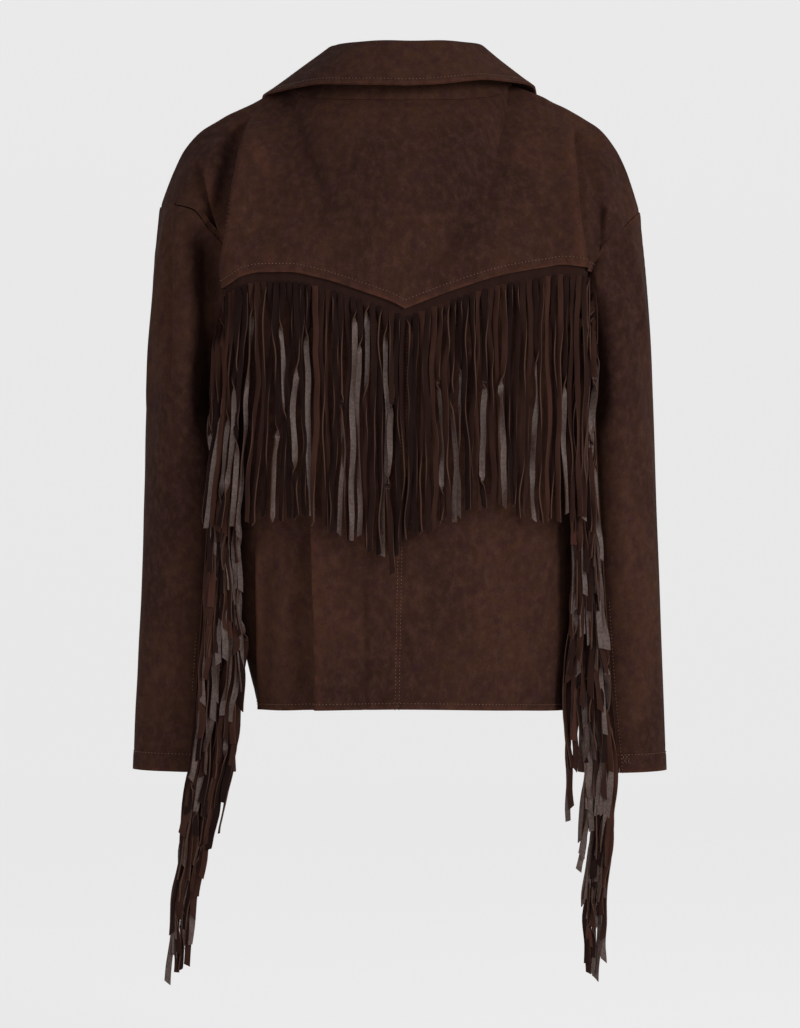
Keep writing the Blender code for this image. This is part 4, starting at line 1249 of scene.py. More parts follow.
@dataclass
class CollarPiece:
    """The collar: a stand that rolls over into a fall, in two layers of suede."""

    suede: Material
    columns: int = 150
    stand_points: int = 9
    roll_points: int = 9
    fall_points: int = 22
    thick: float = 2.2
    sink: float = 4.0
    curl: float = 2.5
    cloth: Cloth | None = None

    def section(self, foot: Array, top: Array, edge: Array) -> Array:
        """The middle line of the collar: up the stand, round the roll, down the fall."""
        up = unit(unit(top - foot) + unit(top - edge))
        across = edge - foot
        across = unit(across - up * (up @ across))
        centre = top - up * ROLL_RADIUS
        turns = np.linspace(math.pi, 0, self.roll_points)
        roll = [centre + ROLL_RADIUS * (across * math.cos(t) + up * math.sin(t)) for t in turns]
        foot = foot - unit(roll[0] - foot) * self.sink
        stand = [foot + (roll[0] - foot) * k / self.stand_points for k in range(self.stand_points)]
        fall = []
        for k in range(1, self.fall_points + 1):
            t = k / self.fall_points
            lift = FALL_BOW * math.sin(math.pi * t) + self.curl * t**6
            fall.append(roll[-1] + (edge - roll[-1]) * t + up * lift)
        return np.array(stand + roll + fall)

    def half(self, side: Side) -> list[Array]:
        """Sections from the middle of the back to the front."""
        knots, uneven = column(COLLAR, "turn"), COLLAR_HALF[side]
        mirror, lean = np.array([side.value, 1.0, 1.0]), np.array([COLLAR_LEAN, 0.0, 0.0])
        made = []
        for turn in np.linspace(0, COLLAR[-1].turn, self.columns // 2 + 1):
            ends = []
            for rows in (column(COLLAR, "top"), column(COLLAR, "edge")):
                spot = np.array([through(knots, rows[:, k], turn) for k in range(3)])
                ends.append(spot * mirror + lean)
            top, edge = ends
            top[0] *= 1 + uneven.fuller * float(smoothstep((turn - 40) / 40))
            rise = smoothstep((turn - 50) / 35) * smoothstep((150 - turn) / 40)
            top[2] += uneven.higher * float(rise)
            edge[0] *= uneven.wider
            edge[2] += uneven.lower * float(smoothstep(turn / 90) * smoothstep((140 - turn) / 50))
            sine, cosine = math.sin(math.radians(turn)), math.cos(math.radians(turn))
            face = BACK if cosine > 0 else FRONT
            height = float(table(NECK_HEIGHT[face], "z", sine)) + COLLAR_RISE
            depth = face.value * NECK_DEPTH[face] * abs(cosine)
            foot = np.array([NECK_HALF * sine, depth, height])
            made.append(self.section(foot * mirror, top, edge))
        return made

    def build(self) -> None:
        left, right = self.half(LEFT), self.half(RIGHT)
        middle = np.swapaxes(np.array(left[:0:-1] + right), 0, 1)
        normal = unit(np.cross(np.gradient(middle, axis=0), np.gradient(middle, axis=1)))
        if normal[-3, middle.shape[1] // 2] @ np.array([0, -1.0, 0.3]) < 0:
            normal = -normal
        cloth = Cloth("collar_cloth", middle + normal * self.thick / 2, normal, self.thick)
        fade = smoothstep((cloth.from_top - 20) / 25)
        push = 0.7 * waves(cloth.outer, size=60, seed=5) * fade
        cloth.outer = cloth.outer + normal * push[..., None]
        cloth.swell(cloth.from_bottom, COLLAR_STITCH, height=0.4)
        cloth.pucker(cloth.from_bottom, COLLAR_STITCH, pitch=10.0, depth=0.3)
        cloth.rub(cloth.from_bottom, width=3.0, amount=0.8)
        piece = cloth.build()
        dress(piece, self.suede, "suede", "collar")
        cloth.declare(piece, ["yoke_cloth"], [])
        self.cloth = cloth


# ---- fringes ----


@dataclass
class Strands:
    """Flat strands gathered into one mesh: suede outside, smooth grain inside, cut edges."""

    name: str
    thick: float = 1.25
    cup: float = 0.12  # as a share of a strand's width
    points: list[Array] = field(default_factory=list)
    faces: list[Array] = field(default_factory=list)
    kinds: list[Array] = field(default_factory=list)
    tones: list[Array] = field(default_factory=list)
    count: int = 0

    def add_rings(self, rings: Array, kind: Sequence[float], tone: float) -> None:
        """Adds a closed tube of rings.

        Args:
            rings: Rings of corners, in order along the tube.
            kind: For each side of the tube, 0 suede, 1 grain and 0.5 a cut edge.
            tone: How red and light the piece is.
        """
        rows, corners = rings.shape[:2]
        index = np.arange(rows * corners).reshape(rows, corners) + self.count
        after = np.roll(index, -1, axis=1)
        sides = np.stack([index[:-1], index[1:], after[1:], after[:-1]], axis=-1)
        self.faces += list(sides.reshape(-1, 4))
        self.kinds.append(np.tile(kind, rows - 1))
        caps = []
        for k in range(corners // 2 - 1):
            ends = [k, k + 1, corners - 2 - k, corners - 1 - k]
            caps += [index[0, ends], index[-1, ends[::-1]]]
        self.faces += caps
        self.kinds.append(np.full(len(caps), 0.5))
        self.tones.append(np.full(sides.shape[0] * corners + len(caps), tone))
        self.points.append(rings.reshape(-1, 3))
        self.count += rows * corners

    def add(self, centre: Array, angle: Array, width: Array, tone: float, slant: float) -> None:
        """Adds a strand that hangs along a path.

        Args:
            centre: The path's points.
            angle: How far it is turned at each point, 0 with its suede to the back.
            width: Its width at each point.
            tone: How red and light it is.
            slant: How much lower one corner of its cut end is.
        """
        travel = unit(np.gradient(centre, axis=0))
        flat = unit(np.cross(np.array([0.0, -1.0, 0.0]), travel))
        out = unit(np.cross(travel, flat))
        turn = angle[:, None]
        across = flat * np.cos(turn) + out * np.sin(turn)
        outward = out * np.cos(turn) - flat * np.sin(turn)
        half, thick = across * width[:, None] / 2, outward * self.thick / 2
        cup = outward * (self.cup * width)[:, None]
        ring = [-half + thick, cup + thick, half + thick, half - thick, cup - thick, -half - thick]
        rings = centre[:, None] + np.stack(ring, axis=1)
        rings[-1, :, 2] += np.array([1, 0, -1, -1, 0, 1]) * slant
        self.add_rings(rings, (0.0, 0.0, 0.5, 1.0, 1.0, 0.5), tone)

    def build(self) -> Object:
        """Makes the mesh, with kind and tone kept on its faces."""
        mesh = mesh_of(self.name, np.concatenate(self.points) * MM, np.array(self.faces))
        for name, values in (("kind", self.kinds), ("tone", self.tones)):
            layer = mesh.attributes.new(name, "FLOAT", "FACE")
            layer.data.foreach_set("value", np.concatenate(values).astype(np.float32))
        return object_of(self.name, mesh)


def twisting(rng: np.random.Generator, s: Array, shown: float) -> Array:
    """How a strand turns on its way down.

    Args:
        rng: Seeded random numbers.
        s: From the root (0) to the tip (1).
        shown: The share of strands that turn their smooth side out.

    Returns:
        Angles in radians.
    """
    phase, beats = rng.uniform(0, ABOUT_A_TURN, 2), rng.uniform(0.6, 2.4, 2)
    turn = 0.5 * np.sin(beats[0] * s * ABOUT_A_TURN + phase[0])
    turn += 0.35 * np.sin(beats[1] * s * 9 + phase[1])
    turn += rng.uniform(-0.9, 0.9)
    if rng.random() < shown:
        way, at, run = rng.choice([-1, 1]), rng.uniform(-0.02, 0.6), rng.uniform(0.07, 0.16)
        turn += way * np.pi * smoothstep((s - at) / run)
        if rng.random() < 0.45:
            turn += way * np.pi * smoothstep((s - at - rng.uniform(0.2, 0.5)) / run)
    return turn * smoothstep(s / 0.05)


def wander(rng: np.random.Generator, s: Array, size: float) -> Array:
    """Uneven sideways sway of a strand, none at its root."""
    total = np.zeros_like(s)
    for beat in (0.8, 1.7, 3.6):
        swing = beat * rng.uniform(0.8, 1.25) * s * ABOUT_A_TURN
        total += np.sin(swing + rng.uniform(0, ABOUT_A_TURN)) / beat
    kink = np.abs((s * rng.uniform(3, 6) + rng.random()) % 1 - 0.5) - 0.25
    return (total + 0.8 * kink) * size * smoothstep(s / 0.25)


def read_line(line: Array, at: Array) -> Array:
    """Points of a polyline at positions counted in its own points."""
    return np.array([np.interp(at, np.arange(len(line)), line[:, k]) for k in range(3)]).T


def cells(line: Array, first: float, last: float, count: int) -> Array:
    """Positions that divide a polyline evenly between two shares of its length."""
    walk = lengths(line)
    return np.interp(np.linspace(first, last, count + 1) * walk[-1], walk, np.arange(len(walk)))


@dataclass
class Fringe:
    """What all fringes have: strands that sway, turn and differ in tone."""

    leather: Material
    strands: int
    steps: int
    span: tuple[float, float]  # the shares of the strip's length where its strands begin and end
    sway: tuple[float, float]  # across and in depth
    turned: float  # the share of strands that turn their smooth side out
    slant: float  # of the cut ends
    tone: tuple[float, float]
    seed: int
    width: float = 6.2

    def hang(
        self, made: Strands, rng: np.random.Generator, s: Array, path: list[Array], width: Array
    ) -> None:
        """Adds a strand that hangs along a path and turns on its way down.

        Args:
            made: Where it is added.
            rng: Seeded random numbers.
            s: From the root (0) to the tip (1).
            path: The path's X, Y and Z.
            width: Its width at each point.
        """
        tone = float(np.clip(rng.normal(*self.tone), 0, 1))
        angle = twisting(rng, s, self.turned)
        slant = rng.uniform(-self.slant, self.slant)
        made.add(np.stack(path, axis=-1), angle, width, tone, slant)


@dataclass
class BackFringe(Fringe):
    """The fringe under the yoke edge: one strip, cut into strands below the edge."""

    strands: int = 63
    steps: int = 48
    span: tuple[float, float] = (0.018, 0.982)
    sway: tuple[float, float] = (1.5, 1.6)
    turned: float = 0.42
    slant: float = 2.5
    tone: tuple[float, float] = (0.25, 0.35)
    seed: int = 7
    slit: float = 0.9
    stagger: float = 1.6
    ragged: float = 6.0
    drift: float = 1.2
    clear: float = 2.2

    def strip(self) -> tuple[Array, Array]:
        """The strip's outer and inner points: three lines each, from its top to its slits."""
        lines = []
        for above in (STRIP_UP, 0.0, -STRIP_DOWN):
            halves = []
            for side in (LEFT.value, RIGHT.value):
                u = finer(COLUMNS, 3)
                halves.append(body_sheet(side, BACK.value, u, share_at_yoke(side, u, above)[None]))
            points, normal = (whole[0] for whole in joined(halves))
            outer = points + normal * (STRIP_GAP + STRIP_CLOTH)
            lines.append((outer, points + normal * STRIP_GAP))
        at = cells(lines[-1][0], *self.span, self.strands)
        outer, inner = (np.array([read_line(line, at) for line in part]) for part in zip(*lines))
        return outer, inner

    def build(self) -> Object:
        """Makes the fringe.

        Returns:
            The finished object.
        """
        outer, inner = self.strip()
        made = Strands("fringe_back_strands")
        rings = np.concatenate([outer, inner[::-1]]).swapaxes(0, 1)
        made.add_rings(rings[::-1], STRIP_KINDS, STRIP_TONE)
        rng = np.random.default_rng(self.seed)
        s = np.linspace(0, 1, self.steps) ** 1.15
        for k in range(self.strands):
            root = (outer[2, k : k + 2].mean(axis=0) + inner[2, k : k + 2].mean(axis=0)) / 2
            start = np.array([outer[2, k : k + 2, 0].mean(), root[1], root[2] + 1.5])
            end_x = float(table(BACK_ENDS, "x", root[0])) + rng.uniform(-self.drift, self.drift)
            end_z = float(table(BACK_ENDS, "z", root[0])) + rng.uniform(-1, 0.6) * self.ragged
            near = self.clear - root[1]
            far = max(near + 2.0, HANG_DEPTH)
            layer = (k * 2 % 3) * self.stagger + rng.uniform(0, 0.6)
            x = start[0] + (end_x - start[0]) * s**1.5 + wander(rng, s, self.sway[0])
            z = start[2] + (end_z - start[2]) * s
            out = near + (far - near) * smoothstep((s - 0.1) / 0.45)
            ease, shake = smoothstep(s / 0.1), 0.5 * np.abs(wander(rng, s, self.sway[1]))
            y = root[1] + (-out - layer - root[1]) * ease - shake
            cell = np.linalg.norm(outer[2, k + 1] - outer[2, k])
            open_cell = cell - self.slit * smoothstep(s / 0.02)
            width = open_cell + (self.width * rng.uniform(0.8, 1.06) - cell) * smoothstep(s / 0.25)
            self.hang(made, rng, s, [x, y, z], width)
        piece = made.build()
        dress(piece, self.leather, "suede_fringe", "fringe_back")
        return piece


@dataclass
class SleeveFringe(Fringe):
    """The fringe in a back sleeve seam: each strand slants off the seam and hangs."""

    strands: int = 84
    steps: int = 40
    span: tuple[float, float] = (0.05, 0.99)
    sway: tuple[float, float] = (1.7, 2.0)
    turned: float = 0.55
    slant: float = 3.0
    tone: tuple[float, float] = (0.3, 0.35)
    seed: int = 23
    seam_rows: int = 90
    layer_step: float = 1.7
    lanes: int = 4
    ragged: tuple[float, float] = (-22.0, 2.0)
    evened: float = 0.3  # how ragged the last strands are beside the others
    clear: float = 2.0
    outward_run: float = 26.0

    def build(self, side: Side) -> Object:
        """Makes one sleeve's fringe.

        Args:
            side: Which sleeve.

        Returns:
            The finished object.
        """
        share = np.linspace(0, 1, self.seam_rows)[:, None]
        seam = back_seam(side, share)
        turns = seam + np.array([STRIP_TURNS]) / SLEEVE_RADIUS
        points, normal = sleeve_sheet(side, turns, share * np.ones(3))
        outer = points + normal * (SLEEVE_STRIP_GAP + STRIP_CLOTH)
        inner = points + normal * SLEEVE_STRIP_GAP
        at = cells(outer[:, 2], *self.span, self.strands)
        columns = [read_line(outer[:, j], at) for j in range(3)]
        columns += [read_line(inner[:, j], at) for j in (2, 1, 0)]
        rings = np.stack(columns, axis=1)
        made = Strands(f"fringe_sleeve_{side.word}_strands")
        made.add_rings(rings if side is LEFT else rings[::-1], STRIP_KINDS, STRIP_TONE)
        roots = (rings[:-1, 2] + rings[1:, 2] + rings[:-1, 3] + rings[1:, 3]) / 4
        rng = np.random.default_rng(self.seed + side.value)
        rows, seam_z, seam_out = BUNDLE[side], roots[::-1, 2], np.abs(roots[::-1, 0])
        s = np.linspace(0, 1, self.steps) ** 1.1
        for k, root in enumerate(roots):
            share = 1.0 if k < self.strands - EVEN_STRANDS else self.evened
            length = SLEEVE_STRAND_LENGTH + rng.uniform(*self.ragged) * share
            z = root[2] - length * s
            place = (k % self.lanes + rng.uniform(0.1, 0.9)) / self.lanes
            lane = np.interp(z, seam_z, seam_out) + table(rows, "drift", z)
            wide = np.minimum(table(rows, "width", z), table(rows, "width", z[-1]))
            lane += -self.clear - (wide + self.clear) * (1 - place)
            travel = abs(root[0]) - lane[int(self.steps * 0.15)]
            ease = smoothstep(length * s / max(12.0, abs(travel) * 2.2))
            x = abs(root[0]) + (lane - abs(root[0])) * ease + wander(rng, s, self.sway[0])
            below = np.interp(z, roots[::-1, 2], np.arange(len(roots))[::-1])
            groups = np.clip(below - k, 0, None) / self.lanes
            behind = np.interp(z, seam_z, -roots[::-1, 1]) + self.clear
            depth = np.maximum(table(rows, "depth", z), behind)
            free = -depth - self.layer_step * groups - rng.uniform(0, 1.2)
            free = free - 0.5 * np.abs(wander(rng, s, self.sway[1]))
            y = root[1] + (free - root[1]) * smoothstep(length * s / self.outward_run)
            cell = np.linalg.norm(rings[k + 1, 2] - rings[k, 2])
            root_width, full_width = cell * 0.8, self.width * rng.uniform(0.8, 1.12)
            width = root_width + (full_width - root_width) * smoothstep(s / 0.12)
            self.hang(made, rng, s, [side.value * x, y, z], width)
        piece = made.build()
        dress(piece, self.leather, "suede_fringe", f"fringe_sleeve_{side.word}")
        return piece


# ---- buttons ----


@dataclass
class Buttons:
    """Turned horn buttons on the front lap, each with a raised rim and a sunk middle."""

    horn: Material
    radius: float = BUTTON_RADIUS
    height: float = BUTTON_HEIGHT
    sides: int = 48

    def seat(self, z: float) -> tuple[Array, Array]:
        """The lapped front's point and normal at the middle, at a height."""
        low, high = 0.0, 1.0
        for _ in range(HALVINGS):
            middle = (low + high) / 2
            above = body(RIGHT.value, FRONT.value, 0.0, middle)[2] > z
            low, high = (middle, high) if above else (low, middle)
        point, normal = body_sheet(RIGHT.value, FRONT.value, np.array([0.0]), np.array([[low]]))
        return point[0, 0] + normal[0, 0] * LAP_LIFT, normal[0, 0]

    def build(self) -> None:
        """Makes the five buttons."""
        for k in range(BUTTONS):
            z = BUTTON_TOP + (BUTTON_BOTTOM - BUTTON_TOP) * k / (BUTTONS - 1)
            seat, out = self.seat(z)
            form = bmesh.new()
            verts = [
                form.verts.new((across * self.radius, 0.0, up * self.height))
                for across, up in BUTTON_PROFILE
            ]
            edges = [form.edges.new(pair) for pair in zip(verts, verts[1:])]
            bmesh.ops.spin(
                form,
                geom=verts + edges, cent=(0, 0, 0), axis=(0, 0, 1), angle=2 * math.pi,
                steps=self.sides,
            )
            bmesh.ops.remove_doubles(form, verts=form.verts, dist=0.001)
            bmesh.ops.recalc_face_normals(form, faces=form.faces)
            side = unit(np.cross(np.array([0.0, 0.0, 1.0]), out))
            up = np.cross(out, side)
            foot = seat + out * (SEAM_GAP + SHANK)
            for vert in form.verts:
                x, y, lift = vert.co
                vert.co = (foot + side * x + up * y + out * lift) * MM
            mesh = bpy.data.meshes.new(f"button_{k + 1}_horn")
            form.to_mesh(mesh)
            form.free()
            mesh.shade_smooth()
            piece = object_of(mesh.name, mesh)
            dress(piece, self.horn, "button", f"button_{k + 1}")


# ---- stitching ----


@dataclass
class Stitching:
    """Rows of thread, set along lines on the cloth by a Geometry Nodes tree."""

    thread: Material
    pitch: float = 3.5
    length: float = 1.4
    radius: float = 0.4
    seed: int = 5
    lines: list[Array] = field(default_factory=list)

    def row(self, cloth: Cloth, distance: Array, at: float, lift: float = 0.35) -> None:
        """Adds a row of stitches that keeps its distance from an edge of a sheet."""
        self.lines.append(cloth.inset(distance, at, lift))

    def tack(self, cloth: Cloth, across: tuple[float, float], up: tuple[float, float]) -> None:
        """Adds a bar tack: a small box of close zigzag on a cuff.

        Args:
            cloth: The sleeve piece.
            across: The box's two edges, from the piece's last edge.
            up: Its lower and upper edge, from the cuff.
        """
        rows = [cloth.inset(cloth.from_bottom, at, 0.5) for at in np.linspace(up[0], up[1], 7)]
        box = []
        for k, line in enumerate(rows):
            away = np.linalg.norm(line - line[-1], axis=1)[::-1]
            ends = [[np.interp(at, away, line[::-1, j]) for j in range(3)] for at in across]
            box += ends if k % 2 else ends[::-1]
        self.lines.append(np.array(box))

    def tree(self) -> Tree:
        """The tree that turns lines into stitches.

        Returns:
            A node group with named inputs for its sizes and its seed.
        """
        tree = bpy.data.node_groups.new("stitch_rows", "GeometryNodeTree")
        face = tree.interface
        face.new_socket("Geometry", in_out="INPUT", socket_type="NodeSocketGeometry")
        for name in ("Pitch", "Length", "Radius"):
            face.new_socket(name, in_out="INPUT", socket_type="NodeSocketFloat")
        face.new_socket("Seed", in_out="INPUT", socket_type="NodeSocketInt")
        face.new_socket("Geometry", in_out="OUTPUT", socket_type="NodeSocketGeometry")
        given = add_node(tree, "NodeGroupInput").outputs
        curve = output_of(tree, "GeometryNodeMeshToCurve", {"Mesh": given["Geometry"]})
        spacing = {"Curve": curve, "Length": given["Pitch"]}
        spaced = output_of(tree, "GeometryNodeResampleCurve", spacing, mode="LENGTH")
        along = {"Vector": output_of(tree, "GeometryNodeInputTangent")}
        turned = output_of(tree, "FunctionNodeAlignRotationToVector", along, axis="Z")
        half = maths(tree, "MULTIPLY", given["Length"], 0.5)
        sizes = {"X": given["Radius"], "Y": given["Radius"], "Z": half}
        size = output_of(tree, "ShaderNodeCombineXYZ", sizes)
        round_one = {"Segments": 6, "Rings": 4, "Radius": 1.0}
        ball = output_of(tree, "GeometryNodeMeshUVSphere", round_one)
        stitch = output_of(tree, "GeometryNodeTransform", {"Geometry": ball, "Scale": size})
        limits = {"Min": (0.85, 0.85, 0.8), "Max": (1.15, 1.15, 1.12), "Seed": given["Seed"]}
        uneven = output_of(tree, "FunctionNodeRandomValue", limits, data_type="FLOAT_VECTOR")
        places = {"Points": spaced, "Instance": stitch, "Rotation": turned, "Scale": uneven}
        placed = output_of(tree, "GeometryNodeInstanceOnPoints", places)
        real = output_of(tree, "GeometryNodeRealizeInstances", {"Geometry": placed})
        coated = {"Geometry": real, "Material": self.thread}
        finished = output_of(tree, "GeometryNodeSetMaterial", coated)
        add_node(tree, "NodeGroupOutput", {"Geometry": finished})
        return tree

    def build(self) -> None:
        """Bakes all the rows into one plain mesh."""
        points = np.concatenate(self.lines) * MM
        ends = np.cumsum([len(line) for line in self.lines])
        edges = [(k, k + 1) for k in range(len(points) - 1) if k + 1 not in set(ends.tolist())]
        mesh = bpy.data.meshes.new("stitch_lines")
        mesh.from_pydata(points.tolist(), edges, [])
        guide = object_of("stitch_lines", mesh)
        modifier = guide.modifiers.new("stitches", "NODES")
        modifier.node_group = tree = self.tree()
        sizes = {"Pitch": self.pitch * MM, "Length": self.length * MM, "Radius": self.radius * MM}
        sizes["Seed"] = self.seed
        for item in tree.interface.items_tree:
            if item.in_out == "INPUT" and item.name in sizes:
                modifier[item.identifier] = sizes[item.name]
        bpy.context.view_layer.update()
        graph = bpy.context.evaluated_depsgraph_get()
        baked = bpy.data.meshes.new_from_object(guide.evaluated_get(graph))
        guide.modifiers.remove(modifier)
        bpy.data.objects.remove(guide)
        baked.name = "stitching"
        baked.shade_smooth()
        dress(object_of("stitching", baked), self.thread, "suede")


# ---- finishes ----


def linear(colour: str) -> tuple[float, float, float, float]:
    """An sRGB hex colour as linear values."""
    parts = [int(colour[k : k + 2], 16) / 255 for k in (0, 2, 4)]
    red, green, blue = (c / 12.92 if c <= 0.04045 else ((c + 0.055) / 1.055) ** 2.4 for c in parts)
    return red, green, blue, 1.0


def add_node(
    tree: Tree, kind: str, inputs: dict | None = None, **settings: object
) -> bpy.types.Node:
    """Adds a node with its settings, values and links.

    Args:
        tree: The tree.
        kind: Blender's name of the node.
        inputs: For each input, by name or number, its value or the output linked to it.
        **settings: The node's own settings.

    Returns:
        The node.
    """
    node = tree.nodes.new(kind)
    for name, value in settings.items():
        setattr(node, name, value)
    for name, value in (inputs or {}).items():
        named = [s for s in node.inputs if s.name == name and s.enabled]
        socket = named[0] if named else node.inputs[name]
        if isinstance(value, Socket):
            tree.links.new(value, socket)
        else:
            socket.default_value = value
    return node


def output_of(tree: Tree, kind: str, inputs: dict | None = None, **settings: object) -> Socket:
    """The first output of a new node."""
    return add_node(tree, kind, inputs, **settings).outputs[0]


def new_material(name: str) -> tuple[Material, Tree, Socket]:
    """An empty node material, its tree and its object coordinates."""
    made = bpy.data.materials.new(name)
    made.use_nodes = True
    tree = made.node_tree
    tree.nodes.clear()
    return made, tree, add_node(tree, "ShaderNodeTexCoord").outputs["Object"]


def principled(tree: Tree, inputs: dict) -> None:
    """Ends a material's tree with its shader and its output."""
    shader = output_of(tree, "ShaderNodeBsdfPrincipled", inputs)
    add_node(tree, "ShaderNodeOutputMaterial", {"Surface": shader})


def attribute(tree: Tree, name: str) -> Socket:
    """A number that the mesh itself keeps."""
    return add_node(tree, "ShaderNodeAttribute", attribute_name=name).outputs["Fac"]


def mapped(tree: Tree, place: Socket, **moves: tuple[float, float, float]) -> Socket:
    """Coordinates moved or scaled."""
    return output_of(tree, "ShaderNodeMapping", {"Vector": place} | moves)


def noise(tree: Tree, place: Socket, size: float, detail: float, **more: float) -> Socket:
    """A noise whose patches are about that many millimetres across."""
    values = {"Vector": place, "Scale": 1 / (size * MM), "Detail": detail, "Roughness": 0.55}
    return output_of(tree, "ShaderNodeTexNoise", values | more)


def maths(tree: Tree, operation: str, *values: object) -> Socket:
    """The result of an operation on values."""
    return output_of(tree, "ShaderNodeMath", dict(enumerate(values)), operation=operation)


def between(tree: Tree, value: Socket, low: float, high: float) -> Socket:
    """A value's way from low (0) to high (1), eased at both ends."""
    inputs = {"Value": value, "From Min": low, "From Max": high}
    return output_of(tree, "ShaderNodeMapRange", inputs, interpolation_type="SMOOTHSTEP")


def spread(tree: Tree, value: Socket, low: float, high: float) -> Socket:
    """A value from 0 to 1 as one from low to high."""
    return output_of(tree, "ShaderNodeMapRange", {"Value": value, "To Min": low, "To Max": high})


def blend(tree: Tree, factor: object, first: object, second: object, way: str = "MIX") -> Socket:
    """Two colours mixed by a factor."""
    inputs = {0: factor, 6: first, 7: second}
    return add_node(tree, "ShaderNodeMix", inputs, data_type="RGBA", blend_type=way).outputs[2]


def shaded(tree: Tree, colour: object, value: Socket, low: float, high: float) -> Socket:
    """A colour darkened where a value is 0 and lightened where it is 1."""
    return blend(tree, 1.0, colour, spread(tree, value, low, high), "MULTIPLY")


def bumped(tree: Tree, height: Socket, distance: float) -> Socket:
    """The normal of a surface with a fine relief, that many metres high."""
    return output_of(
        tree, "ShaderNodeBump", {"Height": height, "Strength": 0.4, "Distance": distance}
    )


@dataclass(frozen=True)
class Suede:
    """Split cowhide, brushed and dyed: no gloss, a nap that lies dark or light by stroke."""

    name: str = "brushed split suede"
    deep: str = "291812"
    base: str = "3a2419"
    plum: str = "301b1b"
    pale: str = "4c3229"
    # the lighter, redder nap of worn places, also used for painted highlights
    worn: str = "4a2c21"
    fibre: str = "8a6450"
    patch_mm: float = 120.0
    mottle_mm: float = 7.5
    wear_mm: float = 9.0
    # the nap's own fibres are about 0.3 mm, drawn four times as coarse so that they show
    nap_mm: float = 1.3
    sheen: float = 0.03

    def material(self) -> Material:
        """The suede of the panels, lighter and redder where the mesh attribute says: worn nap, and
        painted highlights on pleat crests, a spot and the yoke's edge.
        """
        made, tree, place = new_material(self.name)
        brushed = mapped(tree, place, Scale=(1.0, 1.0, 0.75))
        patches = between(tree, noise(tree, brushed, self.patch_mm, 4.0), 0.36, 0.62)
        colour = blend(tree, patches, linear(self.deep), linear(self.base))
        moved = mapped(tree, place, Location=(3.1, 1.7, 0.4))
        blotches = noise(tree, moved, self.mottle_mm * 1.6, 9.0, Roughness=0.72)
        colour = blend(tree, between(tree, blotches, 0.4, 0.7), colour, linear(self.plum))
        mottle = noise(tree, brushed, self.mottle_mm, 9.0, Roughness=0.72)
        mottle = between(tree, mottle, 0.38, 0.82)
        colour = blend(tree, maths(tree, "MULTIPLY", mottle, 0.6), colour, linear(self.pale))
        broken = between(tree, noise(tree, place, self.wear_mm, 4.0), 0.25, 0.7)
        # worn nap and painted highlights, broken up by noise
        worn = maths(tree, "MULTIPLY", attribute(tree, "wear"), broken)
        colour = blend(tree, worn, colour, linear(self.worn))
        nap = noise(tree, place, self.nap_mm, 3.0)
        look = {
            "Base Color": shaded(tree, colour, nap, 0.72, 1.28),
            "Roughness": spread(tree, mottle, 0.97, 0.86),
            "Specular IOR Level": 0.08,
            "Sheen Weight": self.sheen,
            "Sheen Roughness": 0.5,
            "Sheen Tint": linear(self.fibre),
            "Normal": bumped(tree, nap, 0.0005),
        }
        principled(tree, look)
        return made


@dataclass(frozen=True)
class StrandLeather:
    """The same hide in strips: suede on one side, waxy smooth grain on the other."""

    name: str = "cut fringe leather"
    dark: str = "1b100e"
    red: str = "3d251e"
    grain: str = "4c3d38"
    cut: str = "463129"
    streak_mm: float = 7.0
    fleck_mm: float = 2.2
    # hair pores lie about 0.5 mm apart, drawn at twice that
    pore_mm: float = 1.1

    def material(self) -> Material:
        """The strands, by the kind and tone of each face."""
        made, tree, place = new_material(self.name)
        kind = attribute(tree, "kind")  # 0 suede, 0.5 a cut edge, 1 grain
        is_grain = maths(tree, "GREATER_THAN", kind, 0.75)
        is_cut = maths(tree, "COMPARE", kind, 0.5, 0.1)
        suede = blend(tree, attribute(tree, "tone"), linear(self.dark), linear(self.red))
        colour = blend(tree, is_grain, suede, linear(self.grain))
        colour = blend(tree, is_cut, colour, linear(self.cut))
        streaks = noise(tree, mapped(tree, place, Scale=(1.0, 1.0, 0.3)), self.streak_mm, 5.0)
        colour = shaded(tree, colour, streaks, 0.62, 1.38)
        flecks = between(tree, noise(tree, place, self.fleck_mm, 3.0), 0.3, 0.7)
        look = {
            "Base Color": blend(tree, is_grain, colour, shaded(tree, colour, flecks, 0.7, 1.35)),
            "Roughness": spread(tree, is_grain, 0.95, 0.52),
            "Specular IOR Level": spread(tree, is_grain, 0.06, 0.28),
            "Normal": bumped(tree, noise(tree, place, self.pore_mm, 3.0), 0.0004),
        }
        principled(tree, look)
        return made


@dataclass(frozen=True)
class Horn:
    """Buffalo horn, turned and buffed: dark, with paler streaks and a soft gloss."""

    name: str = "turned horn"
    dark: str = "1c1310"
    streak: str = "5a4030"
    streak_mm: float = 12.0

    def material(self) -> Material:
        """The buttons' horn."""
        made, tree, place = new_material(self.name)
        drawn = mapped(tree, place, Scale=(1.0, 1.0, 3.0))
        streaks = between(tree, noise(tree, drawn, self.streak_mm, 4.0, Distortion=1.5), 0.5, 0.72)
        colour = blend(tree, streaks, linear(self.dark), linear(self.streak))
        principled(tree, {"Base Color": colour, "Roughness": 0.32, "IOR": 1.54})
        return made


@dataclass(frozen=True)
class Thread:
    """Spun polyester thread, a little paler than the suede."""

    name: str = "spun thread"
    base: str = "6f5143"
    patch_mm: float = 25.0

    def material(self) -> Material:
        """The stitches' thread."""
        made, tree, place = new_material(self.name)
        uneven = noise(tree, place, self.patch_mm, 2.0)
        colour = shaded(tree, linear(self.base), uneven, 0.55, 1.25)
        principled(tree, {"Base Color": colour, "Roughness": 0.7, "Specular IOR Level": 0.3})
        return made


# ---- studio ----


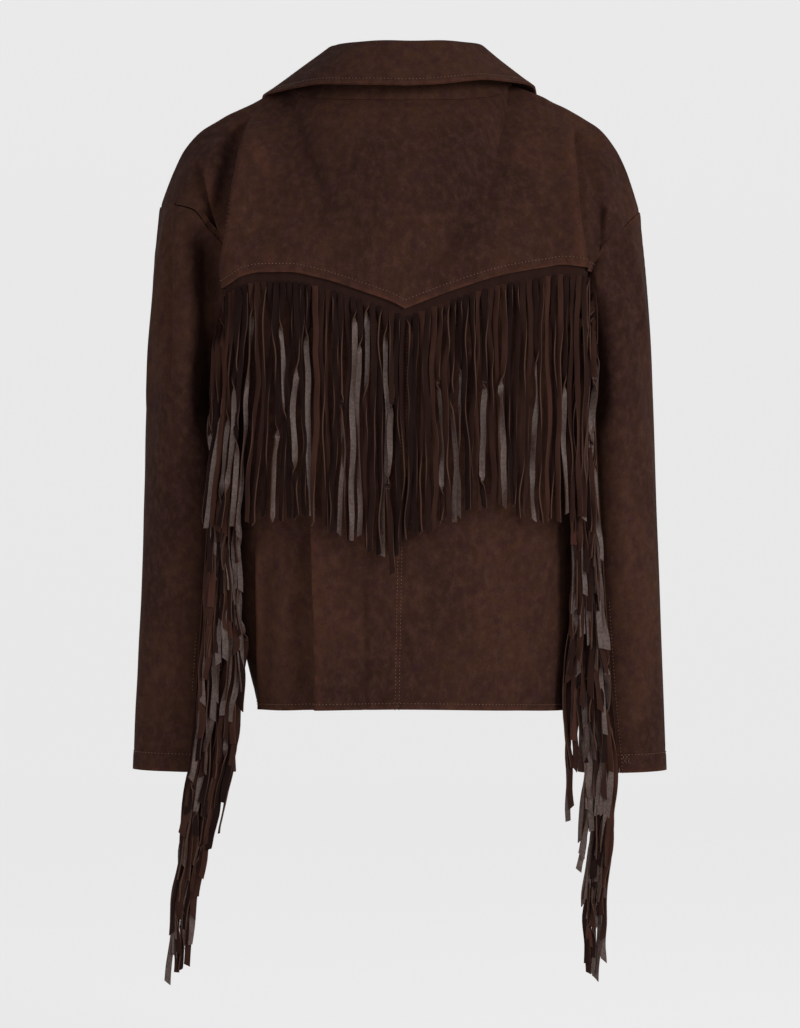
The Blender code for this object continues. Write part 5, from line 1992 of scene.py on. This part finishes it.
@dataclass
class Studio:
    """A pale sweep, soft lights and the camera square on to the jacket's back."""

    floor_z: float = -1.02
    front_y: float = -9.0
    wall_y: float = 8.0
    bend: float = 2.5
    half_width: float = 9.0
    wall_top: float = 6.0
    bend_steps: int = 16
    paper: str = "8c8c8c"
    glow: float = 0.66
    sky: float = 0.42
    key: float = 87.5
    fill: float = 19.0
    rim: float = 4.0
    target: tuple[float, float, float] = (0.0, 0.0, -0.35)
    distance: float = 4.0
    height: float = -0.414
    frame_height: float = 1.028
    sensor: float = 36.0

    def sweep(self) -> None:
        """The floor, curved up into a wall far behind."""
        line = [(self.front_y, self.floor_z), (self.wall_y - self.bend, self.floor_z)]
        for k in range(1, self.bend_steps + 1):
            t = math.pi / 2 * k / self.bend_steps
            y = self.wall_y - self.bend + self.bend * math.sin(t)
            line.append((y, self.floor_z + self.bend * (1 - math.cos(t))))
        line.append((self.wall_y, self.wall_top))
        points = [(x, y, z) for y, z in line for x in (-self.half_width, self.half_width)]
        faces = [(2 * k, 2 * k + 1, 2 * k + 3, 2 * k + 2) for k in range(len(line) - 1)]
        mesh = mesh_of("studio_sweep", np.array(points), np.array(faces))
        made, tree, place = new_material("backlit paper")
        grain = noise(tree, place, 3.0, 2.0)
        look = {
            "Base Color": shaded(tree, linear(self.paper), grain, 0.995, 1.005),
            "Roughness": 1.0,
            "Specular IOR Level": 0.0,
            "Emission Color": (1.0, 1.0, 1.0, 1.0),
            "Emission Strength": self.glow,
        }
        principled(tree, look)
        mesh.materials.append(made)
        object_of("studio_sweep", mesh)

    def lamp(self, name: str, at: tuple[float, float, float], size: float, power: float) -> None:
        """A soft square light, aimed at the jacket.

        Args:
            name: Its name.
            at: Where it stands.
            size: Its side.
            power: Its power in watts.
        """
        data = bpy.data.lights.new(name, "AREA")
        data.shape, data.size, data.energy = "SQUARE", size, power
        made = object_of(name, data)
        made.location = at
        away = np.array(self.target) - np.array(at)
        flat = math.hypot(away[0], away[1])
        made.rotation_euler = math.atan2(flat, -away[2]), 0.0, math.atan2(-away[0], away[1])

    def build(self) -> None:
        """Makes the sweep, the lights, the sky and the camera."""
        self.sweep()
        self.lamp("key", (2.7, -2.7, 0.9), 1.5, self.key)
        self.lamp("fill", (-2.4, -2.8, 0.0), 2.2, self.fill)
        self.lamp("top", (0.0, 0.6, 1.9), 2.0, self.rim)
        world = bpy.data.worlds.new("studio air")
        bpy.context.scene.world = world
        world.use_nodes = True
        sky = world.node_tree.nodes["Background"]
        sky.inputs["Color"].default_value = (1.0, 1.0, 1.0, 1.0)
        sky.inputs["Strength"].default_value = self.sky
        data = bpy.data.cameras.new("camera")
        data.sensor_fit, data.sensor_height = "VERTICAL", self.sensor
        data.lens = self.sensor * self.distance / self.frame_height
        camera = object_of("camera", data)
        camera.location = (0.0, -self.distance, self.height)
        camera.rotation_euler = (math.pi / 2, 0.0, 0.0)
        bpy.context.scene.camera = camera
        bpy.context.scene.view_settings.view_transform = "Standard"


def stitch(stitching: Stitching, body_cloth: Body, sleeves: Sleeves, collar: CollarPiece) -> None:
    """Lays the rows of stitches along the edges and seams of the sheets."""
    yoke = body_cloth.cloths["yoke_back"]
    stitching.row(yoke, yoke.from_bottom, YOKE_STITCH, lift=0.3)
    for side in Side:
        back = body_cloth.cloths[f"back_{side.word}"]
        stitching.row(back, back.from_bottom, HEM_STITCH)
        stitching.row(back, back.from_first, CENTRE_STITCH)
        front = body_cloth.cloths[f"front_{side.word}"]
        stitching.row(front, front.from_first, FRONT_STITCH)
        stitching.row(front, front.from_bottom, HEM_STITCH)
        for part in ("top", "under"):
            piece = sleeves.cloths[f"sleeve_{part}_{side.word}"]
            stitching.row(piece, piece.from_bottom, CUFF_STITCH)
        top = sleeves.cloths[f"sleeve_top_{side.word}"]
        stitching.row(top, top.from_last, SLEEVE_STITCH)
        seam = stitching.lines.pop()
        upper, lower = SEAM_STITCHES[side]
        stitching.lines.append(seam[(seam[:, 2] < upper) & (seam[:, 2] > lower)])
        stitching.row(top, top.from_first, SLEEVE_STITCH)
        if side is RIGHT:  # the left one would be under the fringe
            stitching.tack(top, TACK_ACROSS, TACK_UP)
    fall = collar.cloth
    stitching.row(fall, fall.from_bottom, COLLAR_STITCH)
    stitching.build()


def main() -> None:
    """Builds the jacket, its stitching and the studio, in order."""
    logging.basicConfig(level=logging.INFO, format="%(name)s: %(message)s")
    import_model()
    suede, leather = Suede().material(), StrandLeather().material()
    back_fringe = BackFringe(leather).build()
    sleeve_fringe = SleeveFringe(leather)
    fringes = {side: sleeve_fringe.build(side) for side in Side}
    body_cloth, sleeves, collar = Body(suede), Sleeves(suede), CollarPiece(suede)
    collar.build()
    body_cloth.build(back_fringe)
    sleeves.build(fringes)
    Buttons(Horn().material()).build()
    stitch(Stitching(Thread().material()), body_cloth, sleeves, collar)
    Studio().build()


if __name__ == "__main__":
    main()
